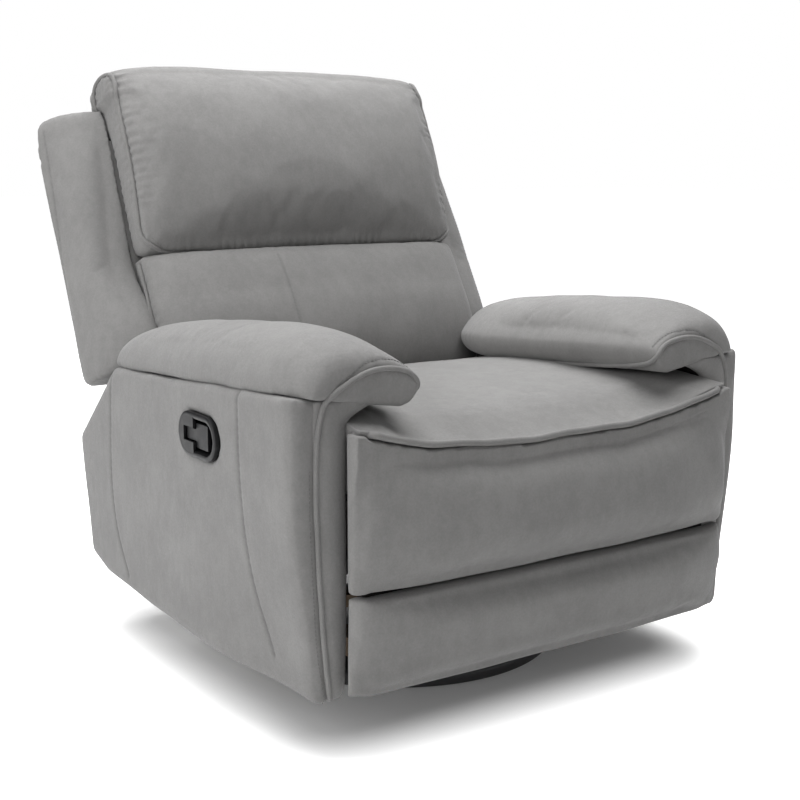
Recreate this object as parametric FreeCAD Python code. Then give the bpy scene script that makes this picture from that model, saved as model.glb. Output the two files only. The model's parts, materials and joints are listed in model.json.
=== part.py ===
import FreeCAD, Part
import math
import os
from FreeCAD import Vector

# A swivel rocker recliner. Millimetres, +Z up, the sitter faces -Y, left is +X.
# The origin is on the floor, on the swivel axis.

# Fits shared by every piece
seat_gap = 0.3
running_clear = 0.05
open_pivot_clear = 0.5
cut_over = 1.0

# Widths shared by the seat, the arms, the footrest and the back, counted from the middle
seat_half_width = 350.0
arm_seat_gap = 10.0
arm_board_thick = 18.0
arm_pad_thick = 62.0
arm_board_inner = seat_half_width + arm_seat_gap
arm_board_outer = arm_board_inner + arm_board_thick
arm_outer = arm_board_outer + arm_pad_thick

# How cushions round off towards their ends
pillow_steps = 5
pillow_end_deg = 82.0
pillow_square = 0.6
pillow_full = 0.4

# Base and swivel bearing
base_radius = 279.0
base_height = 22.0
base_edge_round = 9.0
floor_pad_radius = 252.0
floor_pad_thick = 4.0
swivel_plate_radius = 150.0
swivel_plate_thick = 6.0
swivel_plate_gap = 6.0
ball_radius = 5.7
ball_circle_radius = 125.0
ball_count = 20
king_pin_radius = 10.0
king_pin_flange_radius = 22.0
king_pin_flange_thick = 5.0
king_pin_sink = 12.0
king_nut_radius = 19.0
king_nut_height = 14.0
king_pin_end = 3.0

# Turntable
beam_half_length = 240.0
beam_spacing = 190.0
beam_width = 44.0
beam_height = 20.0
beam_wall = 3.0
rocker_x = 215.0
rocker_rail_width = 34.0
rocker_rail_height = 30.7
rocker_rail_half_length = 200.0

# Rocker cams and springs
cam_radius = 380.0
cam_width = 30.0
cam_half_length = 185.0
cam_height = 65.0
cross_rail_height = 40.0
cross_rail_thick = 30.0
cross_rail_front_y = -60.0
cross_rail_rear_y = 150.0
spring_plate_length = 60.0
spring_plate_width = 48.0
spring_plate_thick = 4.0
spring_seat_drop = 10.7
spring_coil_radius = 17.0
spring_wire_radius = 2.5
spring_turns = 5

# Arms
arm_board_inset = 8.0
arm_edge_round = 20.0
arm_edge_steps = 3
arm_stock_over = 20.0
arm_front_y = -378.0
arm_bottom_front_z = 84.0
arm_bottom_rear_y = 287.0
arm_bottom_rear_z = 112.0
arm_heel_y = 356.0
arm_heel_z = 132.0
arm_rear_y = 391.0
arm_rear_z = 354.0
arm_slope_top_y = 218.0
arm_seam_front_z = 530.0
arm_seam_fall = 0.0587
arm_seam_tilt = 0.155
arm_top_half = 105.5
arm_top_crown = 95.0
arm_top_overhang = 30.0
arm_top_edge = 4.0
arm_top_front_draw = 30.0
arm_top_front_share = 0.26
arm_top_rear_share = 0.28
arm_top_tuck = 150.0
arm_top_tuck_share = 0.3
arm_top_steps = 15
arm_top_rear_end = 0.985
arm_top_front_low = 0.46
arm_top_front_high = 1.05
arm_top_rear_low = 0.3
arm_top_fall = 0.1
arm_top_rear_draw = 14.0
arm_top_nose_draw = 6.0
arm_top_peak_share = 0.56
arm_top_tip_low = 0.5
arm_top_tip_high = 0.8
arm_face_thick = 22.0
arm_face_set = 26.0
arm_face_width = arm_board_thick + arm_pad_thick - arm_face_set
arm_face_margin = 4.0
arm_face_lap = 7.4
arm_face_steps = 11
arm_face_round_share = 0.25
arm_face_edge_share = 0.45
arm_face_draw = 10.0
arm_face_top_over = 12.0
arm_face_foot_share = 0.7

# Seat
seat_front_y = -396.5
seat_rear_y = 150.0
seat_tail_y = 232.0
seat_tail_drop = 46.0
seat_edge_mid_z = 437.0
seat_edge_rise = 42.0
seat_crown = 22.0
seat_side_fall = 28.0
seat_rail_thick = 24.0
seat_rail_height = 67.0
seat_rail_lap = 2.0
seat_rail_inner = seat_half_width + seat_rail_lap - seat_rail_thick
seat_rail_rear_y = 205.0
seat_rail_bottom_z = 310.0
seat_cross_height = 36.0
seat_cross_thick = 20.0
seat_wire_radius = 2.0
seat_spring_count = 5
seat_spring_pitch = 20.0
seat_spring_run = 34.0
seat_spring_end = 6.0
seat_rail_set = 4.0
track_shelf_width = 22.0
track_shelf_thick = 6.0
track_wall = 6.0
track_height = 50.0
track_notch = 16.0
track_end_gap = 10.0

# Footrest linkage, in side view (y, z)
link_thick = 4.0
link_layer_gap = 2.0
link_half_width = 8.0
link_ear_radius = 9.5
link_pin_radius = 4.0
plate_thick = 5.0
plate_margin = 30.0
swing_pivot = (-261.5, 317.0)
swing_reach = (141.5, -205.0)
idler_offset = (-55.0, -10.0)
upper_pin_share = 0.1925
footrest_pin_back = 38.0
footrest_pin_z = 285.0
torque_tube_share = 0.45
torque_tube_radius = 10.0

# Footrest
footrest_board_thick = 12.0
footrest_board_set = 10.0
footrest_board_half_width = seat_half_width - footrest_board_set
footrest_board_top_z = 425.0
footrest_board_bottom_z = 105.0
footrest_back_y = -398.0
footrest_split_z = 245.0
footrest_split_gap = 5.0
footrest_bottom_z = 94.0
footrest_upper_reach = 18.0
footrest_lower_reach = 4.0
footrest_upper_half_width = seat_half_width + footrest_upper_reach
footrest_lower_half_width = seat_half_width + footrest_lower_reach
footrest_upper_bulge = 45.0
footrest_lower_bulge = 30.0
footrest_upper_draw = 16.0
footrest_lower_draw = 12.0
footrest_edge_drop = 6.0
footrest_lip = 2.0
footrest_upper_foot_share = 0.68
footrest_upper_lip_share = 0.2
footrest_lower_foot_share = 0.5
footrest_lower_lip_share = 0.8
bracket_half_height = 33.0
bracket_flange = 30.0

# Back, in its own leaning frame: depth to the rear, height along the back
back_pivot_y = 250.0
back_pivot_z = 260.0
back_lean_deg = 22.0
back_pin_radius = 8.0
back_pin_bearing = 21.0
post_set = 10.0
post_outer = seat_half_width - post_set
post_width = 24.0
post_front_d = -54.0
post_depth = 34.0
post_bottom_h = 40.0
back_top_h = 650.0
back_rail_height = 38.0
middle_rail_h = 385.0
bottom_rail_h = 135.0
hinge_bracket_thick = 5.0
hinge_bracket_radius = 22.0
hinge_bracket_top_h = 200.0
cover_bottom_h = 62.0
cover_rear_d = 32.0
cover_top_h = 706.0
cover_side_set = 2.0
cover_bow = 9.0
wing_bottom_h = 208.0
wing_top_h = 718.0
wing_proud = 5.0
wing_outer = arm_outer + wing_proud
wing_front_low_d = -104.0
wing_front_high_d = -62.0
wing_front_share = 0.42
wing_round_share = 0.1
wing_steps = 15
wing_top_draw = 24.0
wing_bottom_draw = 6.0
wing_top_set = 14.0
wing_rear_round = 12.0
wing_rear_bow = 2.0
wing_cover_lap = 1.0
wing_flat_start = 0.25
wing_flat_run = 0.6
wing_widest_low = 0.66
wing_widest_high = 0.93
wing_belly_out_low = 0.68
wing_belly_out_high = 0.56
wing_belly_back_low = 0.32
wing_belly_back_high = 0.44
lumbar_side_gap = 13.0
lumbar_half_width = post_outer - lumbar_side_gap
lumbar_bottom_h = 132.0
lumbar_top_h = 398.0
lumbar_thick = 66.0
lumbar_crown = 44.0
lumbar_draw = 16.0
lumbar_edge_share = 0.55
lumbar_lip = 4.0
lumbar_top_set = 8.0
head_side_gap = 14.0
head_half_width = post_outer - head_side_gap
head_bottom_h = 412.0
head_top_h = 760.0
head_thick = 64.0
head_crown = 44.0
head_top_crown = 24.0
head_draw = 26.0
head_edge_share = 0.7
head_overhang = 10.0
head_sag = 6.0
head_lip = 3.0

# Rear of the lower body
rear_rail_y = 335.0
rear_rail_thick = 18.0
rear_rail_bottom_z = 115.0
rear_rail_top_z = 275.0
rear_cover_thick = 12.0
rear_cover_side_gap = 3.0
rear_cover_lap = 4.0
rear_cover_edge = 3.0

# Release lever on the right arm
cup_y = -120.0
cup_z = 434.0
cup_length = 122.0
cup_height = 66.0
cup_wall = 8.0
cup_flange = 4.0
cup_flange_thick = 5.0
cup_pocket_share = 0.6
paddle_thick = 5.0
paddle_half_height = 19.0
paddle_stem_half_height = 9.0
paddle_head_length = 38.0
paddle_finger_gap = 22.0
paddle_set = 1.0
paddle_barrel_radius = 6.0
paddle_barrel_half_length = 15.0
lever_pin_radius = 2.5
lever_pin_half_length = 27.0
lever_pin_inset = 14.0
cable_radius = 2.5
cable_bend = 15.0
cable_clear = 3.0
cable_wall_gap = 0.5
latch_width = 20.0
latch_height = 20.0
latch_thick = 8.0
latch_top_z = 235.0

# Levels worked out from the sizes above
base_top_z = floor_pad_thick + base_height
lower_plate_top_z = base_top_z + swivel_plate_thick
ball_z = lower_plate_top_z + swivel_plate_gap / 2
upper_plate_bottom_z = lower_plate_top_z + swivel_plate_gap
upper_plate_top_z = upper_plate_bottom_z + swivel_plate_thick
beam_top_z = upper_plate_top_z + beam_height
rail_top_z = beam_top_z + rocker_rail_height
cam_bottom_z = rail_top_z + seat_gap
cam_centre_z = cam_bottom_z + cam_radius
cam_top_z = cam_bottom_z + cam_height
arm_pad_inner = arm_board_outer + seat_gap
seat_rail_top_z = seat_rail_bottom_z + seat_rail_height
seat_wire_z = seat_rail_top_z + seat_gap + seat_wire_radius
seat_bottom_z = seat_wire_z + seat_wire_radius + seat_gap
footrest_front_y = footrest_back_y - footrest_board_thick
pad_back_y = footrest_front_y - seat_gap
back_pad_d = post_front_d - seat_gap
post_rear_d = post_front_d + post_depth


os.makedirs("parts", exist_ok=True)


def save(name, shape):
    shape.exportStep("parts/" + name + ".step")


def box(x0, x1, y0, y1, z0, z1):
    return Part.makeBox(x1 - x0, y1 - y0, z1 - z0, Vector(x0, y0, z0))


def rod_x(radius, x0, x1, y, z):
    return Part.makeCylinder(radius, x1 - x0, Vector(x0, y, z), Vector(1, 0, 0))


def rod_z(radius, z0, z1, x=0.0, y=0.0):
    return Part.makeCylinder(radius, z1 - z0, Vector(x, y, z0))


def mirror_x(shape):
    return shape.mirror(Vector(0, 0, 0), Vector(1, 0, 0))


def pair(shape):
    return Part.makeCompound([shape, mirror_x(shape)])


def save_sides(name, left_shape):
    save(name + "_left", left_shape)
    save(name + "_right", mirror_x(left_shape))


def outline(points):
    # A closed wire: each entry is an end point, or a pair of via point and end point for an arc.
    edges = []
    start = points[0]
    for entry in points[1:] + [points[0]]:
        if isinstance(entry, tuple):
            edges.append(Part.Arc(start, entry[0], entry[1]).toShape())
            start = entry[1]
        else:
            edges.append(Part.makeLine(start, entry))
            start = entry
    return Part.Wire(edges)


def prism_x(points, x0, x1):
    wire = outline([Vector(x0, y, z) for y, z in points])
    return Part.Face(wire).extrude(Vector(x1 - x0, 0, 0))


def loft(wires, ruled=False):
    return Part.makeLoft(wires, True, ruled)


def stadium(length, height, x0, x1):
    half_run = (length - height) / 2
    radius = height / 2
    block = box(x0, x1, cup_y - half_run, cup_y + half_run, cup_z - radius, cup_z + radius)
    front = rod_x(radius, x0, x1, cup_y - half_run, cup_z)
    rear = rod_x(radius, x0, x1, cup_y + half_run, cup_z)
    return block.fuse([front, rear]).removeSplitter()


def mix(a, b, share):
    return a + (b - a) * share


def ease(share):
    share = min(1.0, max(0.0, share))
    return share * share * (3 - 2 * share)


def round_off(share):
    # Quarter ellipse: 0 at an end, 1 where the rounding stops.
    share = min(1.0, max(0.0, share))
    return math.sqrt(1 - (1 - share) ** 2)


def pillow_stations():
    # Place across the width, -1 to 1, and how full the stuffing is there.
    stations = []
    for step in range(-pillow_steps, pillow_steps + 1):
        angle = math.radians(pillow_end_deg) * abs(step) / pillow_steps
        place = (math.sin(angle) / math.sin(math.radians(pillow_end_deg))) ** pillow_square
        stations.append((math.copysign(place, step), math.cos(angle) ** pillow_full))
    return stations


def end_stations(count, last):
    # Places from 0 to the last one, closer together towards both ends.
    return [last * (1 - math.cos(math.pi * i / (count - 1))) / 2 for i in range(count)]


def base_parts():
    save("floor_pad", rod_z(floor_pad_radius, 0, floor_pad_thick))
    disc = rod_z(base_radius, floor_pad_thick, base_top_z)
    rim = [e for e in disc.Edges if abs(e.CenterOfMass.z - base_top_z) < 1e-6 and e.Closed]
    disc = disc.makeFillet(base_edge_round, rim)
    pin_hole = rod_z(king_pin_radius + running_clear, base_top_z - king_pin_sink, base_top_z + cut_over)
    save("base_disc", disc.cut(pin_hole))
    groove = Part.makeTorus(ball_circle_radius, ball_radius + seat_gap, Vector(0, 0, ball_z))
    lower = rod_z(swivel_plate_radius, base_top_z, lower_plate_top_z)
    lower = lower.cut(rod_z(king_pin_flange_radius + seat_gap, base_top_z - cut_over,
                            lower_plate_top_z + cut_over))
    save("swivel_lower_plate", lower.cut(groove))
    upper = rod_z(swivel_plate_radius, upper_plate_bottom_z, upper_plate_top_z)
    upper = upper.cut(rod_z(king_pin_radius + running_clear, upper_plate_bottom_z - cut_over,
                            upper_plate_top_z + cut_over))
    save("swivel_upper_plate", upper.cut(groove))
    balls = []
    for i in range(ball_count):
        angle = 2 * math.pi * i / ball_count
        centre = Vector(ball_circle_radius * math.cos(angle), ball_circle_radius * math.sin(angle), ball_z)
        balls.append(Part.makeSphere(ball_radius, centre))
    save("bearing_balls", Part.makeCompound(balls))
    nut_bottom_z = upper_plate_top_z + seat_gap
    nut_top_z = nut_bottom_z + king_nut_height
    pin = rod_z(king_pin_radius, base_top_z - king_pin_sink, nut_top_z + king_pin_end)
    flange = rod_z(king_pin_flange_radius, base_top_z, base_top_z + king_pin_flange_thick)
    save("king_pin", pin.fuse(flange).removeSplitter())
    corners = []
    for i in range(6):
        angle = math.pi * i / 3
        corners.append(Vector(king_nut_radius * math.cos(angle), king_nut_radius * math.sin(angle), nut_bottom_z))
    nut = Part.Face(outline(corners)).extrude(Vector(0, 0, king_nut_height))
    bore = rod_z(king_pin_radius + running_clear, nut_bottom_z - cut_over, nut_top_z + cut_over)
    save("king_pin_nut", nut.cut(bore))


def coil_spring(x, z0, z1):
    # One wire wound in quarter turns, each an arc through three points of the helix.
    quarters = 4 * spring_turns
    rise = z1 - z0 - 2 * spring_wire_radius

    def point(step):
        angle = math.pi * step / 2
        z = z0 + spring_wire_radius + rise * step / quarters
        return Vector(x + spring_coil_radius * math.cos(angle), spring_coil_radius * math.sin(angle), z)

    arcs = [Part.Arc(point(i), point(i + 0.5), point(i + 1)).toShape() for i in range(quarters)]
    path = Part.Wire(arcs)
    section = Part.Wire(Part.makeCircle(spring_wire_radius, point(0), arcs[0].tangentAt(arcs[0].FirstParameter)))
    turn_gap = rise / spring_turns - 2 * spring_wire_radius
    print("rocker spring least gap between turns", round(turn_gap, 2))
    return path.makePipeShell([section], True, False)


def turntable_parts():
    beams = []
    for side in (-1, 1):
        y = side * beam_spacing / 2
        y0 = y - beam_width / 2
        y1 = y + beam_width / 2
        beam = box(-beam_half_length, beam_half_length, y0, y1, upper_plate_top_z, beam_top_z)
        inside = box(-beam_half_length - cut_over, beam_half_length + cut_over, y0 + beam_wall, y1 - beam_wall,
                     upper_plate_top_z - cut_over, beam_top_z - beam_wall)
        beams.append(beam.cut(inside))
    save("cross_beams", Part.makeCompound(beams))
    rail = box(rocker_x - rocker_rail_width / 2, rocker_x + rocker_rail_width / 2,
               -rocker_rail_half_length, rocker_rail_half_length, beam_top_z, rail_top_z)
    save_sides("rocker_rail", rail)


def rocker_parts():
    cam_x0 = rocker_x - cam_width / 2
    end_z = cam_centre_z - math.sqrt(cam_radius ** 2 - cam_half_length ** 2)
    profile = [Vector(cam_x0, -cam_half_length, cam_top_z), Vector(cam_x0, -cam_half_length, end_z),
               (Vector(cam_x0, 0, cam_bottom_z), Vector(cam_x0, cam_half_length, end_z)),
               Vector(cam_x0, cam_half_length, cam_top_z)]
    save_sides("rocker_cam", Part.Face(outline(profile)).extrude(Vector(cam_width, 0, 0)))
    rails = []
    for y in (cross_rail_front_y, cross_rail_rear_y):
        rails.append(box(-arm_board_inner, arm_board_inner, y - cross_rail_thick / 2, y + cross_rail_thick / 2,
                         cam_top_z, cam_top_z + cross_rail_height))
    save("cam_cross_rails", Part.makeCompound(rails))
    rail_inner = rocker_x - rocker_rail_width / 2
    seat_z = rail_top_z - spring_seat_drop
    half_length = spring_plate_length / 2
    lower = box(rail_inner - spring_plate_width, rail_inner, -half_length, half_length,
                seat_z - spring_plate_thick, seat_z)
    save("spring_seats", pair(lower))
    top_z = cam_top_z - spring_plate_thick
    upper = box(rail_inner - spring_plate_width, cam_x0, -half_length, half_length, top_z, cam_top_z)
    save("spring_tops", pair(upper))
    spring_x = rail_inner - spring_plate_width / 2
    save("rocker_springs", pair(coil_spring(spring_x, seat_z + seat_gap, top_z - seat_gap)))


def seam_z(x, y):
    # Height of the plane on which the arm pillow lies.
    return arm_seam_front_z - arm_seam_fall * (y - arm_front_y) - arm_seam_tilt * (arm_outer - x)


def above_seam(clearance):
    high = 900.0
    reach = 2 * arm_outer
    corners = []
    for x, y in ((0, -reach), (reach, -reach), (reach, reach), (0, reach)):
        corners.append(Vector(x, y, seam_z(x, y) - clearance))
    return Part.Face(outline(corners)).extrude(Vector(0, 0, high))


def arm_outline(x, inset):
    top_z = arm_seam_front_z + arm_stock_over
    slope = (arm_rear_y - arm_slope_top_y) / (arm_rear_z - seam_z(arm_outer, arm_slope_top_y))
    top_rear_y = arm_slope_top_y + slope * (top_z - seam_z(arm_outer, arm_slope_top_y))
    return [Vector(x, arm_front_y + inset, arm_bottom_front_z + inset),
            Vector(x, arm_bottom_rear_y - inset, arm_bottom_rear_z + inset),
            Vector(x, arm_heel_y - inset, arm_heel_z + inset),
            Vector(x, arm_rear_y - inset, arm_rear_z - inset / 2),
            Vector(x, top_rear_y - inset, top_z),
            Vector(x, arm_front_y + inset, top_z)]


def arm_pillow():
    # Sections across the arm, from the piped front face to the rear end beside the back.
    front_y = arm_front_y - arm_face_thick
    length = arm_slope_top_y - front_y
    inner = arm_outer - 2 * arm_top_half
    wires = []
    for share in end_stations(arm_top_steps, arm_top_rear_end):
        y = front_y + share * length
        front = round_off(share / arm_top_front_share)
        rear = round_off((1 - share) / arm_top_rear_share)
        tuck = 1 - round_off((1 - share) / arm_top_tuck_share)
        crown = arm_top_crown * mix(arm_top_front_low, arm_top_front_high, front)
        crown = crown * mix(arm_top_rear_low, 1.0, rear) * (1 - arm_top_fall * share)
        x_out = arm_outer - arm_top_edge - arm_top_front_draw * (1 - front) - arm_top_rear_draw * (1 - rear)
        x_in = inner + arm_top_tuck * tuck + arm_top_nose_draw * (1 - front)
        x_mid = mix(x_in, x_out, arm_top_peak_share)
        overhang = min(arm_top_overhang, 0.25 * (x_out - x_in))
        start = Vector(x_out, y, seam_z(x_out, y))
        top = Vector(x_mid, y, seam_z(x_mid, y) + crown)
        tip = Vector(x_in, y, seam_z(x_in, y) + crown * mix(arm_top_tip_high, arm_top_tip_low, front))
        under = Vector(x_in + overhang, y, seam_z(x_in + overhang, y))
        outer_via = Vector(mix(x_out, x_mid, 0.24), y, mix(start.z, top.z, 0.70))
        inner_via = Vector(mix(x_mid, x_in, 0.62), y, mix(top.z, tip.z, 0.30))
        tip_via = Vector(x_in + overhang * 0.2, y, mix(tip.z, under.z, 0.62))
        wires.append(outline([start, (outer_via, top), (inner_via, tip), (tip_via, under)]))
    return loft(wires)


def arm_face():
    # The padded front of the arm, drawn in at its edges.
    inner = arm_board_inner - arm_face_lap
    top = seam_z(inner + arm_face_width, arm_front_y) + arm_face_top_over
    back_y = arm_front_y - seat_gap
    wires = []
    for share in end_stations(arm_face_steps, 1.0):
        swell = mix(arm_face_edge_share, 1.0, round_off(share / arm_face_round_share))
        draw = arm_face_draw * (1 - swell)
        z = mix(arm_bottom_front_z + arm_face_margin, top, share)
        outer = inner + arm_face_width * mix(arm_face_foot_share, 1.0, math.sin(share * math.pi / 2))
        depth = (arm_face_thick - seat_gap) * swell
        via = Vector(mix(inner, outer, 0.5), back_y - depth, z)
        side = back_y - depth * 0.6
        wires.append(outline([Vector(inner + draw, back_y, z), Vector(inner + draw, side, z),
                              (via, Vector(outer - draw, side, z)), Vector(outer - draw, back_y, z)]))
    return loft(wires)


def arm_parts():
    above = above_seam(seat_gap)
    board = Part.Face(outline(arm_outline(arm_board_inner, arm_board_inset))).extrude(
        Vector(arm_board_thick, 0, 0)).cut(above)
    cable_hole = box(-arm_board_outer - cut_over, -arm_board_inner + cut_over,
                     cup_y - track_notch / 2, cup_y + track_notch / 2,
                     cup_z - 2 * cable_bend, cup_z + cable_radius + cable_clear)
    save("arm_frame_left", board)
    save("arm_frame_right", mirror_x(board).cut(cable_hole))
    layers = [outline(arm_outline(arm_pad_inner, 0.0))]
    for step in range(arm_edge_steps + 1):
        angle = math.pi / 2 * step / arm_edge_steps
        x = arm_outer - arm_edge_round * (1 - math.sin(angle))
        layers.append(outline(arm_outline(x, arm_edge_round * (1 - math.cos(angle)))))
    side = loft(layers, True).cut(above)
    save("arm_side_left", side)
    cup_hole = stadium(cup_length, cup_height, -arm_outer - cut_over, -arm_board_outer)
    save("arm_side_right", mirror_x(side).cut(cup_hole))
    save_sides("arm_top", arm_pillow())
    save_sides("arm_front", arm_face().cut(above))


def track_parts():
    front_y = arm_front_y + track_end_gap
    rear_y = seat_rail_rear_y + track_end_gap
    shelf_top = seat_rail_bottom_z - seat_gap
    shelf = box(arm_board_inner - track_wall - track_shelf_width, arm_board_inner, front_y, rear_y,
                shelf_top - track_shelf_thick, shelf_top)
    wall = box(arm_board_inner - track_wall, arm_board_inner, front_y, rear_y,
               shelf_top - track_height / 2, shelf_top + track_height / 2)
    track = shelf.fuse(wall).removeSplitter()
    notch = box(-arm_board_inner - cut_over, -arm_board_inner + track_wall, cup_y - track_notch / 2,
                cup_y + track_notch / 2, shelf_top - track_height, shelf_top + track_height)
    save("glide_tracks", Part.makeCompound([track, mirror_x(track).cut(notch)]))


def rear_parts():
    rail = box(-arm_board_inner, arm_board_inner, rear_rail_y, rear_rail_y + rear_rail_thick,
               rear_rail_bottom_z, rear_rail_top_z)
    save("rear_rail", rail)
    cover_half = arm_board_inner - rear_cover_side_gap
    cover_front = rear_rail_y + rear_rail_thick + seat_gap
    cover_rear = cover_front + rear_cover_thick
    middle_z = mix(rear_rail_bottom_z, rear_rail_top_z, 0.5)
    wires = []
    levels = ((rear_rail_bottom_z - rear_cover_lap, 0.5), (middle_z, 1.0), (rear_rail_top_z + rear_cover_lap, 0.5))
    for z, swell in levels:
        rear = mix(cover_front, cover_rear, swell)
        side = rear - rear_cover_edge
        via = Vector(0, mix(rear, cover_rear, 0.5), z)
        wires.append(outline([Vector(-cover_half, cover_front, z), Vector(-cover_half, side, z),
                              (via, Vector(cover_half, side, z)), Vector(cover_half, cover_front, z)]))
    save("rear_cover", loft(wires))


def seat_edge_z(x):
    # The front edge of the seat lies low in the middle and rises to the arms.
    return seat_edge_mid_z + seat_edge_rise * abs(x / seat_half_width) ** 3


def seat_cushion():
    wires = []
    for share, full in pillow_stations():
        x = share * seat_half_width
        swell = -seat_side_fall * (1 - full)
        front_z = seat_edge_z(x) + swell
        rear_z = seat_edge_mid_z + swell * 0.5
        crown_z = mix(front_z, rear_z, 0.5) + seat_crown + swell * 0.5
        tail_z = seat_edge_mid_z - seat_tail_drop
        wires.append(outline([Vector(x, seat_front_y, seat_bottom_z), Vector(x, seat_front_y, front_z),
                              (Vector(x, mix(seat_front_y, seat_rear_y, 0.5), crown_z),
                               Vector(x, seat_rear_y, rear_z)),
                              Vector(x, seat_tail_y, tail_z), Vector(x, seat_tail_y, seat_bottom_z)]))
    return loft(wires)


def sinuous_spring(x):
    # Flat zigzag wire from the front rail to the rear rail: straight runs joined by quarter arcs.
    front = seat_front_y + seat_spring_end
    rear = seat_rail_rear_y - seat_spring_end
    bend = seat_spring_pitch / 2
    loops = int((rear - front - 2 * bend) // seat_spring_pitch)
    first = front + (rear - front - loops * seat_spring_pitch) / 2
    diag = bend * math.sqrt(0.5)
    half_run = seat_spring_run / 2
    edges = [Part.makeLine(Vector(x - half_run, first, seat_wire_z), Vector(x + half_run, first, seat_wire_z))]
    for i in range(loops):
        side = 1 if i % 2 == 0 else -1
        y = first + i * seat_spring_pitch
        end_x = x + side * half_run
        tip = Vector(end_x + side * bend, y + bend, seat_wire_z)
        top = Vector(end_x, y + 2 * bend, seat_wire_z)
        low_via = Vector(end_x + side * diag, y + bend - diag, seat_wire_z)
        high_via = Vector(end_x + side * diag, y + bend + diag, seat_wire_z)
        edges.append(Part.Arc(Vector(end_x, y, seat_wire_z), low_via, tip).toShape())
        edges.append(Part.Arc(tip, high_via, top).toShape())
        edges.append(Part.makeLine(top, Vector(x - side * half_run, top.y, seat_wire_z)))
    path = Part.Wire(edges)
    section = Part.Wire(Part.makeCircle(seat_wire_radius, edges[0].Vertexes[0].Point, Vector(1, 0, 0)))
    return path.makePipeShell([section], True, False)


def seat_parts():
    front = seat_front_y + seat_rail_set
    rail = box(seat_rail_inner, seat_rail_inner + seat_rail_thick, front, seat_rail_rear_y,
               seat_rail_bottom_z, seat_rail_top_z)
    save("seat_side_rails", pair(rail))
    cross_bottom = seat_rail_top_z - seat_cross_height
    save("seat_front_rail", box(-seat_rail_inner, seat_rail_inner, front, front + seat_cross_thick,
                                cross_bottom, seat_rail_top_z))
    save("seat_rear_rail", box(-seat_rail_inner, seat_rail_inner, seat_rail_rear_y - seat_cross_thick,
                               seat_rail_rear_y, cross_bottom, seat_rail_top_z))
    step = 2 * seat_rail_inner / (seat_spring_count + 1)
    springs = [sinuous_spring(-seat_rail_inner + step * (i + 1)) for i in range(seat_spring_count)]
    save("seat_springs", Part.makeCompound(springs))
    save("seat_cushion", seat_cushion())


def layer(number):
    # Inner and outer face of a link layer, counted inward from the mechanism plate.
    outer = seat_rail_inner - plate_thick - link_layer_gap - (number - 1) * (link_thick + link_layer_gap)
    return outer - link_thick, outer


def add(a, b, share=1.0):
    return (a[0] + b[0] * share, a[1] + b[1] * share)


def bar(start, end, x0, x1):
    run = math.hypot(end[0] - start[0], end[1] - start[1])
    side_y = -(end[1] - start[1]) / run * link_half_width
    side_z = (end[0] - start[0]) / run * link_half_width
    corners = [add(start, (side_y, side_z)), add(end, (side_y, side_z)),
               add(end, (-side_y, -side_z)), add(start, (-side_y, -side_z))]
    body = prism_x(corners, x0, x1)
    ears = [rod_x(link_ear_radius, x0, x1, p[0], p[1]) for p in (start, end)]
    return body.fuse(ears).removeSplitter()


def hole(shape, point, clearance):
    return shape.cut(rod_x(link_pin_radius + clearance, -arm_outer, arm_outer, point[0], point[1]))


def stud(shape, point, x0, x1):
    return shape.fuse(rod_x(link_pin_radius, x0, x1, point[0], point[1])).removeSplitter()


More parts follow.
